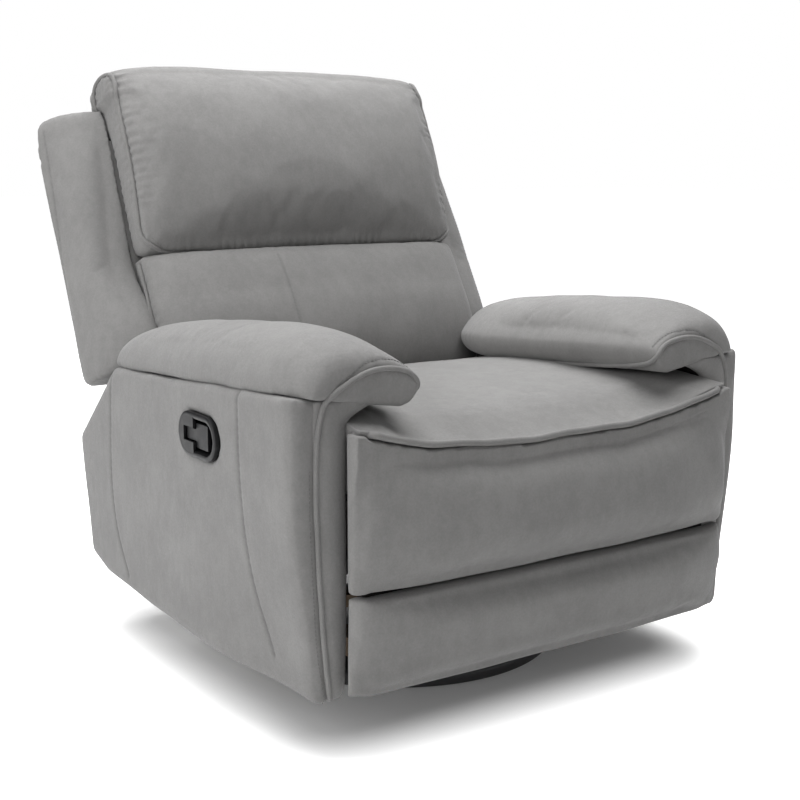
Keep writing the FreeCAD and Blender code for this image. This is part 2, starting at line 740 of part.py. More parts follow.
def linkage_parts():
    knee = add(swing_pivot, swing_reach)
    idler_pivot = add(swing_pivot, idler_offset)
    idler_end = add(knee, idler_offset)
    upper_start = add(knee, swing_reach, -upper_pin_share)
    foot_pin = (footrest_back_y + footrest_pin_back, footrest_pin_z)
    upper_end = add(foot_pin, swing_reach, -upper_pin_share)
    plate_x0 = seat_rail_inner - plate_thick
    plate = box(plate_x0, seat_rail_inner, idler_pivot[0] - plate_margin, swing_pivot[0] + plate_margin,
                idler_pivot[1] - plate_margin, swing_pivot[1] + plate_margin)
    idler_x0, idler_x1 = layer(1)
    swing_x0, swing_x1 = layer(2)
    long_x0, long_x1 = layer(3)
    bracket_x0, bracket_x1 = layer(4)
    upper_x0, upper_x1 = layer(5)
    plate = stud(plate, swing_pivot, swing_x0, plate_x0)
    plate = stud(plate, idler_pivot, idler_x0, plate_x0)
    save("mechanism_plates", pair(plate))
    idler = hole(bar(idler_pivot, idler_end, idler_x0, idler_x1), idler_pivot, running_clear)
    save("footrest_idler_links", pair(stud(idler, idler_end, long_x0, idler_x0)))
    swing = hole(bar(swing_pivot, knee, swing_x0, swing_x1), swing_pivot, running_clear)
    swing = stud(swing, knee, long_x0, swing_x0)
    save("footrest_swing_links", pair(stud(swing, upper_start, upper_x0, swing_x0)))
    tube = add(swing_pivot, swing_reach, torque_tube_share)
    save("footrest_torque_tube", rod_x(torque_tube_radius, -swing_x0, swing_x0, tube[0], tube[1]))
    long_link = bar(knee, foot_pin, long_x0, long_x1).fuse(bar(knee, idler_end, long_x0, long_x1))
    long_link = hole(long_link.removeSplitter(), knee, running_clear)
    long_link = hole(long_link, idler_end, open_pivot_clear)
    save("footrest_long_links", pair(stud(long_link, foot_pin, bracket_x0, long_x0)))
    upper = hole(bar(upper_start, upper_end, upper_x0, upper_x1), upper_start, running_clear)
    save("footrest_upper_links", pair(stud(upper, upper_end, upper_x1, bracket_x1)))
    bracket_front = footrest_back_y
    bracket_rear = foot_pin[0] + link_ear_radius
    middle_z = (foot_pin[1] + upper_end[1]) / 2
    bracket = box(bracket_x0, bracket_x1, bracket_front, bracket_rear,
                  middle_z - bracket_half_height, middle_z + bracket_half_height)
    flange = box(bracket_x0, bracket_x1 + bracket_flange, bracket_front, bracket_front + link_thick,
                 middle_z - bracket_half_height, middle_z + bracket_half_height)
    bracket = hole(bracket.fuse(flange).removeSplitter(), foot_pin, running_clear)
    save("footrest_brackets", pair(hole(bracket, upper_end, open_pivot_clear)))


def footrest_parts():
    save("footrest_board", box(-footrest_board_half_width, footrest_board_half_width, footrest_front_y,
                               footrest_back_y, footrest_board_bottom_z, footrest_board_top_z))
    upper = []
    for share, swell in pillow_stations():
        x = share * footrest_upper_half_width
        draw = (1 - swell) * footrest_upper_draw
        bottom = footrest_split_z + footrest_split_gap / 2 + draw
        top = seat_edge_z(share * seat_half_width) - footrest_edge_drop - draw
        face = pad_back_y - footrest_upper_bulge * swell
        foot = Vector(x, mix(pad_back_y, face, footrest_upper_foot_share), bottom + footrest_lip)
        lip = Vector(x, mix(pad_back_y, face, footrest_upper_lip_share), top)
        upper.append(outline([Vector(x, pad_back_y, bottom), foot, (Vector(x, face, mix(bottom, top, 0.5)), lip),
                              Vector(x, pad_back_y, top - footrest_lip)]))
    save("footrest_upper_pad", loft(upper))
    lower = []
    for share, swell in pillow_stations():
        x = share * footrest_lower_half_width
        draw = (1 - swell) * footrest_lower_draw
        bottom = footrest_bottom_z + draw
        top = footrest_split_z - footrest_split_gap / 2 - draw / 3
        face = pad_back_y - footrest_lower_bulge * swell
        foot = Vector(x, mix(pad_back_y, face, footrest_lower_foot_share), bottom + footrest_lip)
        lip = Vector(x, mix(pad_back_y, face, footrest_lower_lip_share), top)
        lower.append(outline([Vector(x, pad_back_y, bottom), foot, (Vector(x, face, mix(bottom, top, 0.55)), lip),
                              Vector(x, pad_back_y, top)]))
    save("footrest_lower_panel", loft(lower))


def lean(shape):
    # From the back's own frame to its place on the chair.
    turn = FreeCAD.Rotation(Vector(1, 0, 0), -back_lean_deg)
    placed = shape.copy()
    placed.Placement = FreeCAD.Placement(Vector(0, back_pivot_y, back_pivot_z), turn)
    return placed


def wing():
    wires = []
    inner = post_outer + seat_gap
    for share in end_stations(wing_steps, 1.0):
        h = mix(wing_bottom_h, wing_top_h, share)
        top = 1 - round_off((1 - share) / wing_round_share)
        draw = wing_top_draw * top + wing_bottom_draw * (1 - round_off(share / wing_round_share))
        front = mix(wing_front_low_d, wing_front_high_d, ease(share / wing_front_share)) + wing_top_set * top
        outer = wing_outer - draw
        rear_d = cover_rear_d + wing_cover_lap - draw / 5
        flat = ease((share - wing_flat_start) / wing_flat_run)
        side_d = mix(front, cover_rear_d, mix(wing_widest_low, wing_widest_high, flat))
        belly = Vector(mix(inner, outer, mix(wing_belly_out_low, wing_belly_out_high, flat)),
                       mix(front, side_d, mix(wing_belly_back_low, wing_belly_back_high, flat)), h)
        rear_via = Vector(outer - wing_rear_bow, mix(side_d, rear_d, 0.62), h)
        wires.append(outline([Vector(inner, front, h), (belly, Vector(outer, side_d, h)),
                              (rear_via, Vector(outer - wing_rear_round, rear_d, h)), Vector(inner, rear_d, h)]))
    return loft(wires)


def lumbar():
    wires = []
    for share, swell in pillow_stations():
        x = share * lumbar_half_width
        draw = (1 - swell) * lumbar_draw
        edge = back_pad_d - lumbar_thick * mix(lumbar_edge_share, 1.0, swell)
        face = edge - lumbar_crown * swell
        low = lumbar_bottom_h + draw
        high = lumbar_top_h - draw
        wires.append(outline([Vector(x, back_pad_d, low), Vector(x, edge, low + lumbar_lip),
                              (Vector(x, face, mix(low, high, 0.48)),
                               Vector(x, edge + lumbar_top_set, high - lumbar_lip)),
                              Vector(x, back_pad_d, high)]))
    return loft(wires)


def head():
    # The stuffing reaches over the top of the frame to the outer cover.
    wires = []
    rear = back_pad_d
    over = post_rear_d
    step_h = back_top_h + seat_gap
    for share, swell in pillow_stations():
        x = share * head_half_width
        draw = (1 - swell) * head_draw
        edge = back_pad_d - head_thick * mix(head_edge_share, 1.0, swell)
        face = edge - head_crown * swell
        low = head_bottom_h + draw
        high = head_top_h - draw
        wires.append(outline([Vector(x, rear, low + head_lip),
                              (Vector(x, mix(rear, edge, 0.55), low - head_sag * swell),
                               Vector(x, edge - head_overhang, low + head_lip)),
                              (Vector(x, face, mix(low, high, 0.42)), Vector(x, edge, high)),
                              (Vector(x, mix(over, edge, 0.45), high + head_top_crown * swell),
                               Vector(x, over, high)),
                              Vector(x, over, step_h), Vector(x, rear, step_h)]))
    return loft(wires)


def back_parts():
    post_inner = post_outer - post_width
    post = box(post_inner, post_outer, post_front_d, post_rear_d, post_bottom_h, back_top_h)
    save_sides("back_post", lean(post))
    for name, low in (("back_top_rail", back_top_h - back_rail_height), ("back_middle_rail", middle_rail_h),
                      ("back_bottom_rail", bottom_rail_h)):
        save(name, lean(box(-post_inner, post_inner, post_front_d, post_rear_d, low, low + back_rail_height)))
    radius = hinge_bracket_radius
    plate = prism_x([(radius, 0), (post_rear_d, hinge_bracket_top_h), (post_front_d, hinge_bracket_top_h),
                     (post_front_d, post_bottom_h + radius), (-radius, 0)],
                    post_outer, post_outer + hinge_bracket_thick)
    plate = plate.fuse(rod_x(radius, post_outer, post_outer + hinge_bracket_thick, 0, 0)).removeSplitter()
    plate = plate.cut(rod_x(back_pin_radius + running_clear, 0, arm_outer, 0, 0))
    save("back_hinge_brackets", pair(lean(plate)))
    pin = rod_x(back_pin_radius, arm_board_inner - back_pin_bearing, arm_board_inner, back_pivot_y, back_pivot_z)
    save("back_pivot_pins", pair(pin))
    cover_half = post_outer - cover_side_set
    cover_front = post_rear_d + seat_gap
    middle_h = mix(cover_bottom_h, cover_top_h, 0.5)
    end_d = cover_rear_d - cover_bow
    profile = [Vector(-cover_half, cover_front, cover_bottom_h), Vector(-cover_half, end_d, cover_bottom_h),
               (Vector(-cover_half, cover_rear_d, middle_h), Vector(-cover_half, end_d, cover_top_h)),
               Vector(-cover_half, cover_front, cover_top_h)]
    save("outer_back_cover", lean(Part.Face(outline(profile)).extrude(Vector(2 * cover_half, 0, 0))))
    save_sides("back_wing", lean(wing()))
    save("lumbar_cushion", lean(lumbar()))
    save("head_cushion", lean(head()))


def lever_parts():
    back_x = -arm_board_outer - seat_gap
    face_x = -arm_outer - seat_gap
    front_x = face_x - cup_flange_thick
    body = stadium(cup_length - 2 * seat_gap, cup_height - 2 * seat_gap, face_x, back_x)
    flange = stadium(cup_length + 2 * cup_flange, cup_height + 2 * cup_flange, front_x, face_x)
    pocket_length = cup_length - 2 * cup_wall
    pocket_height = cup_height - 2 * cup_wall
    pocket = stadium(pocket_length, pocket_height, front_x - cut_over, mix(face_x, back_x, cup_pocket_share))
    pin_x = front_x + paddle_thick + paddle_barrel_radius
    pin_y = cup_y + pocket_length / 2 - lever_pin_inset
    pin_hole = rod_z(lever_pin_radius + running_clear, cup_z - lever_pin_half_length,
                     cup_z + lever_pin_half_length, pin_x, pin_y)
    cup = body.fuse(flange).removeSplitter().cut(pocket).cut(pin_hole)
    save("lever_cup", cup)
    save("lever_pin", rod_z(lever_pin_radius, cup_z - lever_pin_half_length + seat_gap,
                            cup_z + lever_pin_half_length - seat_gap, pin_x, pin_y))
    head_front = cup_y - pocket_length / 2 + paddle_finger_gap
    head_rear = head_front + paddle_head_length
    plate_x = front_x + paddle_set
    plate = box(plate_x, plate_x + paddle_thick, head_front, head_rear,
                cup_z - paddle_half_height, cup_z + paddle_half_height)
    stem = box(plate_x, plate_x + paddle_thick, head_rear - cut_over, pin_y,
               cup_z - paddle_stem_half_height, cup_z + paddle_stem_half_height)
    barrel = rod_z(paddle_barrel_radius, cup_z - paddle_barrel_half_length, cup_z + paddle_barrel_half_length,
                   pin_x, pin_y)
    paddle = plate.fuse([stem, barrel]).removeSplitter()
    bore = rod_z(lever_pin_radius + running_clear, cup_z - cup_height, cup_z + cup_height, pin_x, pin_y)
    save("release_paddle", paddle.cut(bore))
    drop_x = -arm_board_inner + cable_radius + cable_wall_gap
    turn_x = drop_x - cable_bend
    turn_z = cup_z - cable_bend
    diag = cable_bend * math.sqrt(0.5)
    run_in = Part.makeLine(Vector(back_x, cup_y, cup_z), Vector(turn_x, cup_y, cup_z))
    bend = Part.Arc(Vector(turn_x, cup_y, cup_z), Vector(turn_x + diag, cup_y, turn_z + diag),
                    Vector(drop_x, cup_y, turn_z)).toShape()
    fall = Part.makeLine(Vector(drop_x, cup_y, turn_z), Vector(drop_x, cup_y, latch_top_z))
    section = Part.Wire(Part.makeCircle(cable_radius, Vector(back_x, cup_y, cup_z), Vector(1, 0, 0)))
    save("release_cable", Part.Wire([run_in, bend, fall]).makePipeShell([section], True, False))
    save("footrest_latch", box(-arm_board_inner, -arm_board_inner + latch_thick, cup_y - latch_width / 2,
                               cup_y + latch_width / 2, latch_top_z - latch_height, latch_top_z))


base_parts()
turntable_parts()
rocker_parts()
arm_parts()
track_parts()
rear_parts()
seat_parts()
linkage_parts()
footrest_parts()
back_parts()
lever_parts()
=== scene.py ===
import json
import math

import bmesh
import bpy
import numpy as np
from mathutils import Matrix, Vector, noise
from mathutils.bvhtree import BVHTree
from mathutils.kdtree import KDTree


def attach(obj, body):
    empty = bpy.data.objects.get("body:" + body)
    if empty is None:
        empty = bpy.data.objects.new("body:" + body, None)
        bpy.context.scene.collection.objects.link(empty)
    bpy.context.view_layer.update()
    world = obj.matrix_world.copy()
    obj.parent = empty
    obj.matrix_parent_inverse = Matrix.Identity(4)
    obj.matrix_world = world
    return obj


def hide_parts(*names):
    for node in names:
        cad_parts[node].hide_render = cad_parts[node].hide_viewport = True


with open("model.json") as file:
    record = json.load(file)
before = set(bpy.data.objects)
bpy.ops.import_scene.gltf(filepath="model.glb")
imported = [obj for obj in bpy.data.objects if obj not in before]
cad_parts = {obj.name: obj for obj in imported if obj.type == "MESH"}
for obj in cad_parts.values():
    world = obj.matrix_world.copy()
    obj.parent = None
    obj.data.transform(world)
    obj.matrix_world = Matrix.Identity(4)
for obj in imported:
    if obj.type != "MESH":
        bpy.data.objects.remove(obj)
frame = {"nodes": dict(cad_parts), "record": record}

# Swivel rocker recliner. Metres, +Z up, the sitter faces -Y, the lever side is -X.
scene = bpy.context.scene
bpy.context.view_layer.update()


# camera, light and floor

black, white = (0, 0, 0, 1), (1, 1, 1, 1)

cameraLook = {
    "place": (-1.308, -1.909, 0.841), "target": (0.0001, 0.0176, 0.4187),
    "lens": 59.9, "sensor": 36, "shift": (0.011, 0.00375),
}

stageLook = {
    "floorSize": 60.0, "floorColour": (0.86, 0.86, 0.86, 1), "floorRough": 0.9, "floorShine": 0.1,
    # glow for camera rays only: the paper is white, and a dim glow over the chair's footprint leaves a shadow there
    # that is partly the lamps' real shadow and partly painted shadow
    "paintedShadowGlow": 0.07, "paperGlow": 1.0, "shadeHalf": (0.30, 0.28, 1.0), "shadeFade": (0.03, 0.20),
    "worldLevel": 0.06, "lampAim": (0, 0, 0.45),
    # place, size and power of each lamp
    "lamps": {
        "key": ((-3.2, 0.2, 1.5), 2.4, 54), "top": ((0.2, 0.3, 3.4), 3.2, 156),
        "fill": ((-1.9, -2.8, 2.0), 2.4, 24), "rear": ((1.6, 2.9, 1.8), 2.0, 36),
    },
}


def addCamera(look):
    data = bpy.data.cameras.new("photoCamera")
    data.lens, data.sensor_width = look["lens"], look["sensor"]
    data.shift_x, data.shift_y = look["shift"]
    camera = bpy.data.objects.new("photoCamera", data)
    scene.collection.objects.link(camera)
    camera.location = look["place"]
    camera.rotation_mode = "QUATERNION"
    aim = Vector(look["target"]) - Vector(look["place"])
    camera.rotation_quaternion = aim.to_track_quat("-Z", "Y")
    scene.camera = camera


class Sock:
    # one socket of a node tree; maths on it adds Math nodes
    def __init__(self, tree, socket):
        self.tree, self.socket = tree, socket

    def make(self, kind, settings, inputs, out=0):
        node = self.tree.nodes.new(kind)
        for key, value in settings.items():
            setattr(node, key, value)
        for key, value in inputs.items():
            if isinstance(value, Sock):
                self.tree.links.new(value.socket, node.inputs[key])
            else:
                node.inputs[key].default_value = value
        return Sock(self.tree, node.outputs[out])

    def math(self, operation, a, b):
        return self.make("ShaderNodeMath", {"operation": operation}, {0: a, 1: b})

    def __add__(self, other):
        return self.math("ADD", self, other)

    def __mul__(self, other):
        return self.math("MULTIPLY", self, other)

    __radd__, __rmul__ = __add__, __mul__

    def vector(self, operation, inputs=(), out=0):
        given = dict(enumerate((self,) + tuple(inputs)))
        return self.make("ShaderNodeVectorMath", {"operation": operation}, given, out)

    def noise(self, scale, detail=3.0, rough=0.55):
        inputs = {"Vector": self, "Scale": scale, "Detail": detail, "Roughness": rough}
        return self.make("ShaderNodeTexNoise", {}, inputs)

    def scaled(self, way):
        return self.make("ShaderNodeMapping", {}, {"Vector": self, "Scale": way})

    def band(self, low, high, a=0.0, b=1.0):
        inputs = {"Value": self, "From Min": low, "From Max": high, "To Min": a, "To Max": b}
        return self.make("ShaderNodeMapRange", {"interpolation_type": "SMOOTHSTEP"}, inputs)

    def tint(self, dark, light):
        return self.make("ShaderNodeMix", {"data_type": "RGBA"}, {"Factor": self, 6: dark, 7: light}, 2)

    def bump(self, strength, depth):
        return self.make("ShaderNodeBump", {}, {"Height": self, "Strength": strength, "Distance": depth})


def newMaterial(name):
    material = bpy.data.materials.new(name)
    material.use_nodes = True
    tree = material.node_tree
    coords = tree.nodes.new("ShaderNodeTexCoord")
    return material, tree.nodes["Principled BSDF"], Sock(tree, coords.outputs["Object"])


def finishWith(shader, linked, fixed):
    for key, sock in linked.items():
        sock.tree.links.new(sock.socket, shader.inputs[key])
    for key, value in fixed.items():
        shader.inputs[key].default_value = value


def seenBy(tree, *rays):
    path = tree.nodes.new("ShaderNodeLightPath")
    first, *others = [Sock(tree, path.outputs[ray]) for ray in rays]
    for other in others:
        first = first + other
    return first


def addFloor(look):
    bpy.ops.mesh.primitive_plane_add(size=look["floorSize"])
    floor = bpy.context.object
    floor.name = "paperFloor"
    material, shader, place = newMaterial("paperFloor")
    seen = seenBy(material.node_tree, "Is Camera Ray", "Is Glossy Ray", "Is Transmission Ray")
    # how far a floor point lies outside the chair's footprint; near the footprint the glow stays low as painted shadow
    away = place.vector("ABSOLUTE").vector("SUBTRACT", [look["shadeHalf"]])
    far = away.vector("MAXIMUM", [(0, 0, 0)]).vector("LENGTH", out=1)
    glow = seen * far.band(*look["shadeFade"], look["paintedShadowGlow"], look["paperGlow"])
    finishWith(shader, {"Emission Color": glow.tint(black, white)},
               {"Base Color": look["floorColour"], "Roughness": look["floorRough"], "Emission Strength": 1.0,
                "Specular IOR Level": look["floorShine"]})
    floor.data.materials.append(material)


def addWorld(look):
    world = bpy.data.worlds.new("studio")
    world.use_nodes = True
    scene.world = world
    tree = world.node_tree
    lit = tree.nodes["Background"]
    lit.inputs["Color"].default_value = white
    lit.inputs["Strength"].default_value = look["worldLevel"]
    dim = Sock(tree, lit.outputs[0])
    paper = dim.make("ShaderNodeBackground", {}, {"Color": white, "Strength": 1.0})
    seen = seenBy(tree, "Is Camera Ray", "Is Transmission Ray")
    both = dim.make("ShaderNodeMixShader", {}, {0: seen, 1: dim, 2: paper})
    tree.links.new(both.socket, tree.nodes["World Output"].inputs["Surface"])


def addLamps(look):
    for name, (place, size, power) in look["lamps"].items():
        lamp = bpy.data.lights.new(name + "Panel", "AREA")
        lamp.size, lamp.energy = size, power
        panel = bpy.data.objects.new(name + "Panel", lamp)
        scene.collection.objects.link(panel)
        panel.location = place
        panel.rotation_mode = "QUATERNION"
        panel.rotation_quaternion = (Vector(look["lampAim"]) - panel.location).to_track_quat("-Z", "Y")


addCamera(cameraLook)
addFloor(stageLook)
addWorld(stageLook)
addLamps(stageLook)
scene.view_settings.view_transform = "Standard"
print("camera, floor and lamps set")


# finishes; a noise is given by scale, detail and roughness, a bump by strength and depth

suedeLook = {
    # seam is the colour of the painted shade that darkens the cover along sewn lines
    "dark": (0.212, 0.209, 0.206), "light": (0.262, 0.258, 0.253), "seam": (0.085, 0.084, 0.084, 1),
    "cloud": (9.0, 5.0, 0.62), "brush": (62.0, 4.0, 0.6), "fleck": (300.0, 3.0, 0.6), "nap": (1500.0, 2.0, 0.6),
    "brushWay": (1.0, 1.0, 0.55), "toneMix": (0.36, 0.30, 0.34), "toneBand": (0.30, 0.70), "seamShadeMix": 0.75,
    "roughMix": (0.6, 0.4), "roughBand": (0.2, 0.8, 0.86, 0.66),
    "napHeight": 0.5, "brushHeight": 1.1, "fleckHeight": 0.35, "bump": (0.55, 0.001),
    "sheen": 0.22, "sheenRough": 0.45, "sheenTint": (0.9, 0.9, 0.92, 1), "shine": 0.32,
}


def suede(name, look, shade=1.0):
    material, shader, place = newMaterial(name)
    cloud, brush = place.noise(*look["cloud"]), place.scaled(look["brushWay"]).noise(*look["brush"])
    fleck, nap = place.noise(*look["fleck"]), place.noise(*look["nap"])
    cloudShare, brushShare, fleckShare = look["toneMix"]
    tone = (cloud * cloudShare + brush * brushShare + fleck * fleckShare).band(*look["toneBand"])
    dark, light = [tuple(shade * c for c in look[key]) + (1,) for key in ("dark", "light")]
    # painted shade: seamShade darkens the cover towards the seam colour beside sewn lines
    seam = place.make("ShaderNodeAttribute", {"attribute_name": "seamShade"}, {}, 2)
    colour = (seam * look["seamShadeMix"]).tint(tone.tint(dark, light), look["seam"])
    toneShare, napShare = look["roughMix"]
    rough = (tone * toneShare + nap * napShare).band(*look["roughBand"])
    height = nap * look["napHeight"] + brush * look["brushHeight"] + fleck * look["fleckHeight"]
    finishWith(shader, {"Base Color": colour, "Roughness": rough, "Normal": height.bump(*look["bump"])},
               {"Sheen Weight": look["sheen"], "Sheen Roughness": look["sheenRough"],
                "Sheen Tint": look["sheenTint"], "Specular IOR Level": look["shine"]})
    return material


plasticLook = {
    "colour": (0.010, 0.010, 0.011, 1), "worn": (0.030, 0.030, 0.031, 1), "wornBand": (0.5, 0.8),
    "grain": (900.0, 3.0), "scuff": (60.0, 4.0), "roughBand": (0.3, 0.8, 0.40, 0.55), "bump": (0.18, 0.0004),
    "shine": 0.28,
}


def mouldedPlastic(name, look):
    material, shader, place = newMaterial(name)
    grain, scuff = place.noise(*look["grain"]), place.noise(*look["scuff"])
    finishWith(shader, {"Base Color": scuff.band(*look["wornBand"]).tint(look["colour"], look["worn"]),
                        "Roughness": scuff.band(*look["roughBand"]), "Normal": grain.bump(*look["bump"])},
               {"Specular IOR Level": look["shine"]})
    return material


enamelLook = {
    "colour": (0.036, 0.036, 0.038, 1), "dusty": (0.086, 0.086, 0.088, 1), "dustBand": (0.5, 0.78),
    "peel": (420.0, 2.0), "dust": (18.0, 5.0), "roughBand": (0.3, 0.7, 0.42, 0.60), "bump": (0.12, 0.0006),
    "coat": 0.15,
}


def enamel(name, look):
    material, shader, place = newMaterial(name)
    peel, dust = place.noise(*look["peel"]), place.noise(*look["dust"])
    finishWith(shader, {"Base Color": dust.band(*look["dustBand"]).tint(look["colour"], look["dusty"]),
                        "Roughness": dust.band(*look["roughBand"]), "Normal": peel.bump(*look["bump"])},
               {"Coat Weight": look["coat"]})
    return material


steelLook = {
    "dark": (0.40, 0.40, 0.41, 1), "light": (0.56, 0.56, 0.57, 1), "spangleScale": 140.0, "streak": (220.0, 3.0),
    "toneBand": (0.3, 0.7), "roughBand": (0.3, 0.7, 0.28, 0.5), "bump": (0.05, 0.0003),
}


def zincSteel(name, look):
    material, shader, place = newMaterial(name)
    spangle = place.make("ShaderNodeTexVoronoi", {}, {"Vector": place, "Scale": look["spangleScale"]}, 1)
    streak = place.noise(*look["streak"])
    finishWith(shader, {"Base Color": streak.band(*look["toneBand"]).tint(look["dark"], look["light"]),
                        "Roughness": streak.band(*look["roughBand"]), "Normal": spangle.bump(*look["bump"])},
               {"Metallic": 1.0})
    return material


woodLook = {
    "grainWay": (6.0, 40.0, 40.0), "grain": (3.0, 6.0, 0.6), "pore": (26.0, 3.0), "toneMix": (0.7, 0.3),
    "toneBand": (0.3, 0.7), "roughBand": (0.2, 0.8, 0.6, 0.8), "bump": (0.25, 0.0005),
    # both pairs stand in partly for shade: the plain brown is wood darkened as painted shade where the frame shows in
    # gaps, and the near-black pair is painted shade on boards seen in dark gaps
    "plain": ((0.10, 0.066, 0.038, 1), (0.19, 0.135, 0.082, 1)),
    "gapShadeBlack": ((0.016, 0.014, 0.013, 1), (0.036, 0.032, 0.029, 1)),
}


def frameWood(name, look, shadedTone):
    material, shader, place = newMaterial(name)
    stretched = place.scaled(look["grainWay"])
    grain, pore = stretched.noise(*look["grain"]), stretched.noise(*look["pore"])
    grainShare, poreShare = look["toneMix"]
    tone = (grain * grainShare + pore * poreShare).band(*look["toneBand"])
    finishWith(shader, {"Base Color": tone.tint(*look[shadedTone]), "Roughness": pore.band(*look["roughBand"]),
                        "Normal": pore.bump(*look["bump"])}, {})
    return material


rubberLook = {
    "dark": (0.012, 0.012, 0.012, 1), "light": (0.04, 0.04, 0.04, 1), "speck": (700.0, 3.0),
    "bump": (0.3, 0.0004), "rough": 0.85,
}


def rubber(name, look):
    material, shader, place = newMaterial(name)
    speck = place.noise(*look["speck"])
    finishWith(shader, {"Base Color": speck.tint(look["dark"], look["light"]), "Normal": speck.bump(*look["bump"])},
               {"Roughness": look["rough"]})
    return material


suedeCover = suede("brushedSuede", suedeLook)
suedeWelt = suede("suedeWelt", suedeLook, shade=0.93)
suedeThread = suede("seamThread", suedeLook, shade=0.72)
blackPlastic = mouldedPlastic("mouldedPlastic", plasticLook)
bySlot = {
    "rubber_pad": rubber("padRubber", rubberLook),
    "black_enamel": enamel("blackEnamel", enamelLook),
    "bare_steel": zincSteel("zincSteel", steelLook),
    "frame_wood": frameWood("frameWood", woodLook, "plain"),
    # boards seen in the gaps are near-black as painted shade
    "stained_wood": frameWood("gapShadeWood", woodLook, "gapShadeBlack"),
    "black_plastic": blackPlastic,
    "cable_sheath": mouldedPlastic("cableSheath", plasticLook),
    "upholstery": suedeCover,
}
for part in frame["record"]["subparts"]:
    node = frame["nodes"][part["node"]]
    node.data.materials.clear()
    node.data.materials.append(bySlot[part["material_slot"]])
print("finishes made:", len(bpy.data.materials))


# mesh helpers

weldGap = 0.00002
clothLook = {
    "quality": 4, "mass": 0.3, "stretch": 18, "shear": 8, "bend": 0.8, "air": 2, "frames": 20, "after": 2,
    # cosine between a face and a free way: where it starts to move, and over what span
    "freeFrom": -0.05, "freeSpan": 0.8,
}
foldLook = {"wander": 2.4, "wanderRate": 23, "gaps": 0.45, "gapRate": 14, "shade": 0.8, "shadeWidth": 0.8}


def points(obj):
    co = np.empty(len(obj.data.vertices) * 3)
    obj.data.vertices.foreach_get("co", co)
    return co.reshape(-1, 3)


def setPoints(obj, co):
    obj.data.vertices.foreach_set("co", co.ravel())
    obj.data.update()


def pointNormals(obj):
    co = np.empty(len(obj.data.vertices) * 3)
    obj.data.vertex_normals.foreach_get("vector", co)
    return co.reshape(-1, 3)


def addPiece(name, data):
    obj = bpy.data.objects.new(name, data)
    scene.collection.objects.link(obj)
    return obj


def meshPiece(name, verts, edges, faces):
    data = bpy.data.meshes.new(name)
    data.from_pydata(verts, edges, faces)
    return addPiece(name, data)


def settle(obj):
    # live modifiers become a plain mesh
    graph = bpy.context.evaluated_depsgraph_get()
    data = bpy.data.meshes.new_from_object(obj.evaluated_get(graph), preserve_all_data_layers=True, depsgraph=graph)
    old = obj.data
    obj.modifiers.clear()
    obj.data = data
    bpy.data.meshes.remove(old)


def formOf(node, name):
    data = frame["nodes"][node].data.copy()
    data.materials.clear()
    mesh = bmesh.new()
    mesh.from_mesh(data)
    bmesh.ops.remove_doubles(mesh, verts=mesh.verts, dist=weldGap)
    mesh.to_mesh(data)
    mesh.free()
    return addPiece(name, data)


def smoothFaces(obj, material):
    obj.data.polygons.foreach_set("use_smooth", [True] * len(obj.data.polygons))
    obj.data.materials.clear()
    obj.data.materials.append(material)


def soften(obj, rounds):
    relax = obj.modifiers.new("relax", "SMOOTH")
    relax.factor, relax.iterations = 0.5, rounds
    settle(obj)


def freeShare(way, look):
    free = np.max([way @ np.array(d) for d in look["free"]], axis=0)
    return np.clip((free - clothLook["freeFrom"]) / clothLook["freeSpan"], 0, 1)


def ease(value, low, high):
    t = np.clip((value - low) / (high - low), 0, 1)
    return t * t * (3 - 2 * t)


def swell(obj, look):
    # pressure fills the cover; only faces that look a free way may move
    rest = points(obj)
    way = pointNormals(obj)
    setPoints(obj, rest - way * look["slack"])
    fill = obj.modifiers.new("fill", "CLOTH")
    cloth = fill.settings
    cloth.quality, cloth.mass = clothLook["quality"], clothLook["mass"]
    cloth.tension_stiffness = cloth.compression_stiffness = clothLook["stretch"]
    cloth.shear_stiffness, cloth.bending_stiffness = clothLook["shear"], clothLook["bend"]
    cloth.air_damping = clothLook["air"]
    cloth.use_pressure = True
    cloth.uniform_pressure_force = look["pressure"]
    cloth.effector_weights.gravity = 0
    fill.collision_settings.use_collision = False
    fill.point_cache.frame_start, fill.point_cache.frame_end = 1, clothLook["frames"]
    for step in range(1, clothLook["frames"] + 1):
        scene.frame_set(step)
    settle(obj)
    out = np.clip(((points(obj) - rest) * way).sum(1), 0, look["reach"])
    setPoints(obj, rest + way * (out * freeShare(way, look))[:, None])
    scene.frame_set(1)


def ripple(obj, size, pitch, seed):
    # slow unevenness of stuffing under a cover
    co, way = points(obj), pointNormals(obj)
    start = Vector((seed, seed * 2, seed * 3))
    lift = [noise.fractal(Vector(p) / pitch + start, 1.0, 2.0, 2) for p in co]
    setPoints(obj, co + way * (np.array(lift) * size)[:, None])


def makePad(name, node, body, look):
    obj = formOf(node, name)
    if "spread" in look:
        co = points(obj)
        middle = (co.min(0) + co.max(0)) / 2
        setPoints(obj, middle + (co - middle) * np.array(look["spread"]))
    shell = obj.modifiers.new("shell", "REMESH")
    shell.mode, shell.voxel_size = "VOXEL", look["voxel"]
    settle(obj)
    soften(obj, look["soften"])
    if "pressure" in look:
        swell(obj, look)
        soften(obj, clothLook["after"])
    if "plump" in look:
        way = pointNormals(obj)
        setPoints(obj, points(obj) + way * (look["plump"] * freeShare(way, look))[:, None])
    finer = obj.modifiers.new("finer", "SUBSURF")
    finer.levels = finer.render_levels = 1
    settle(obj)
    ripple(obj, look["ripple"], look["ripplePitch"], look["seed"])
    obj.data.attributes.new("seamShade", "FLOAT", "POINT")
    smoothFaces(obj, suedeCover)
    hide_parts(node)
    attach(obj, body)
    print("pad %s: %d faces" % (name, len(obj.data.polygons)))
    return obj


def runOf(line):
    return np.r_[0, np.cumsum(np.linalg.norm(np.diff(line, axis=0), axis=1))]


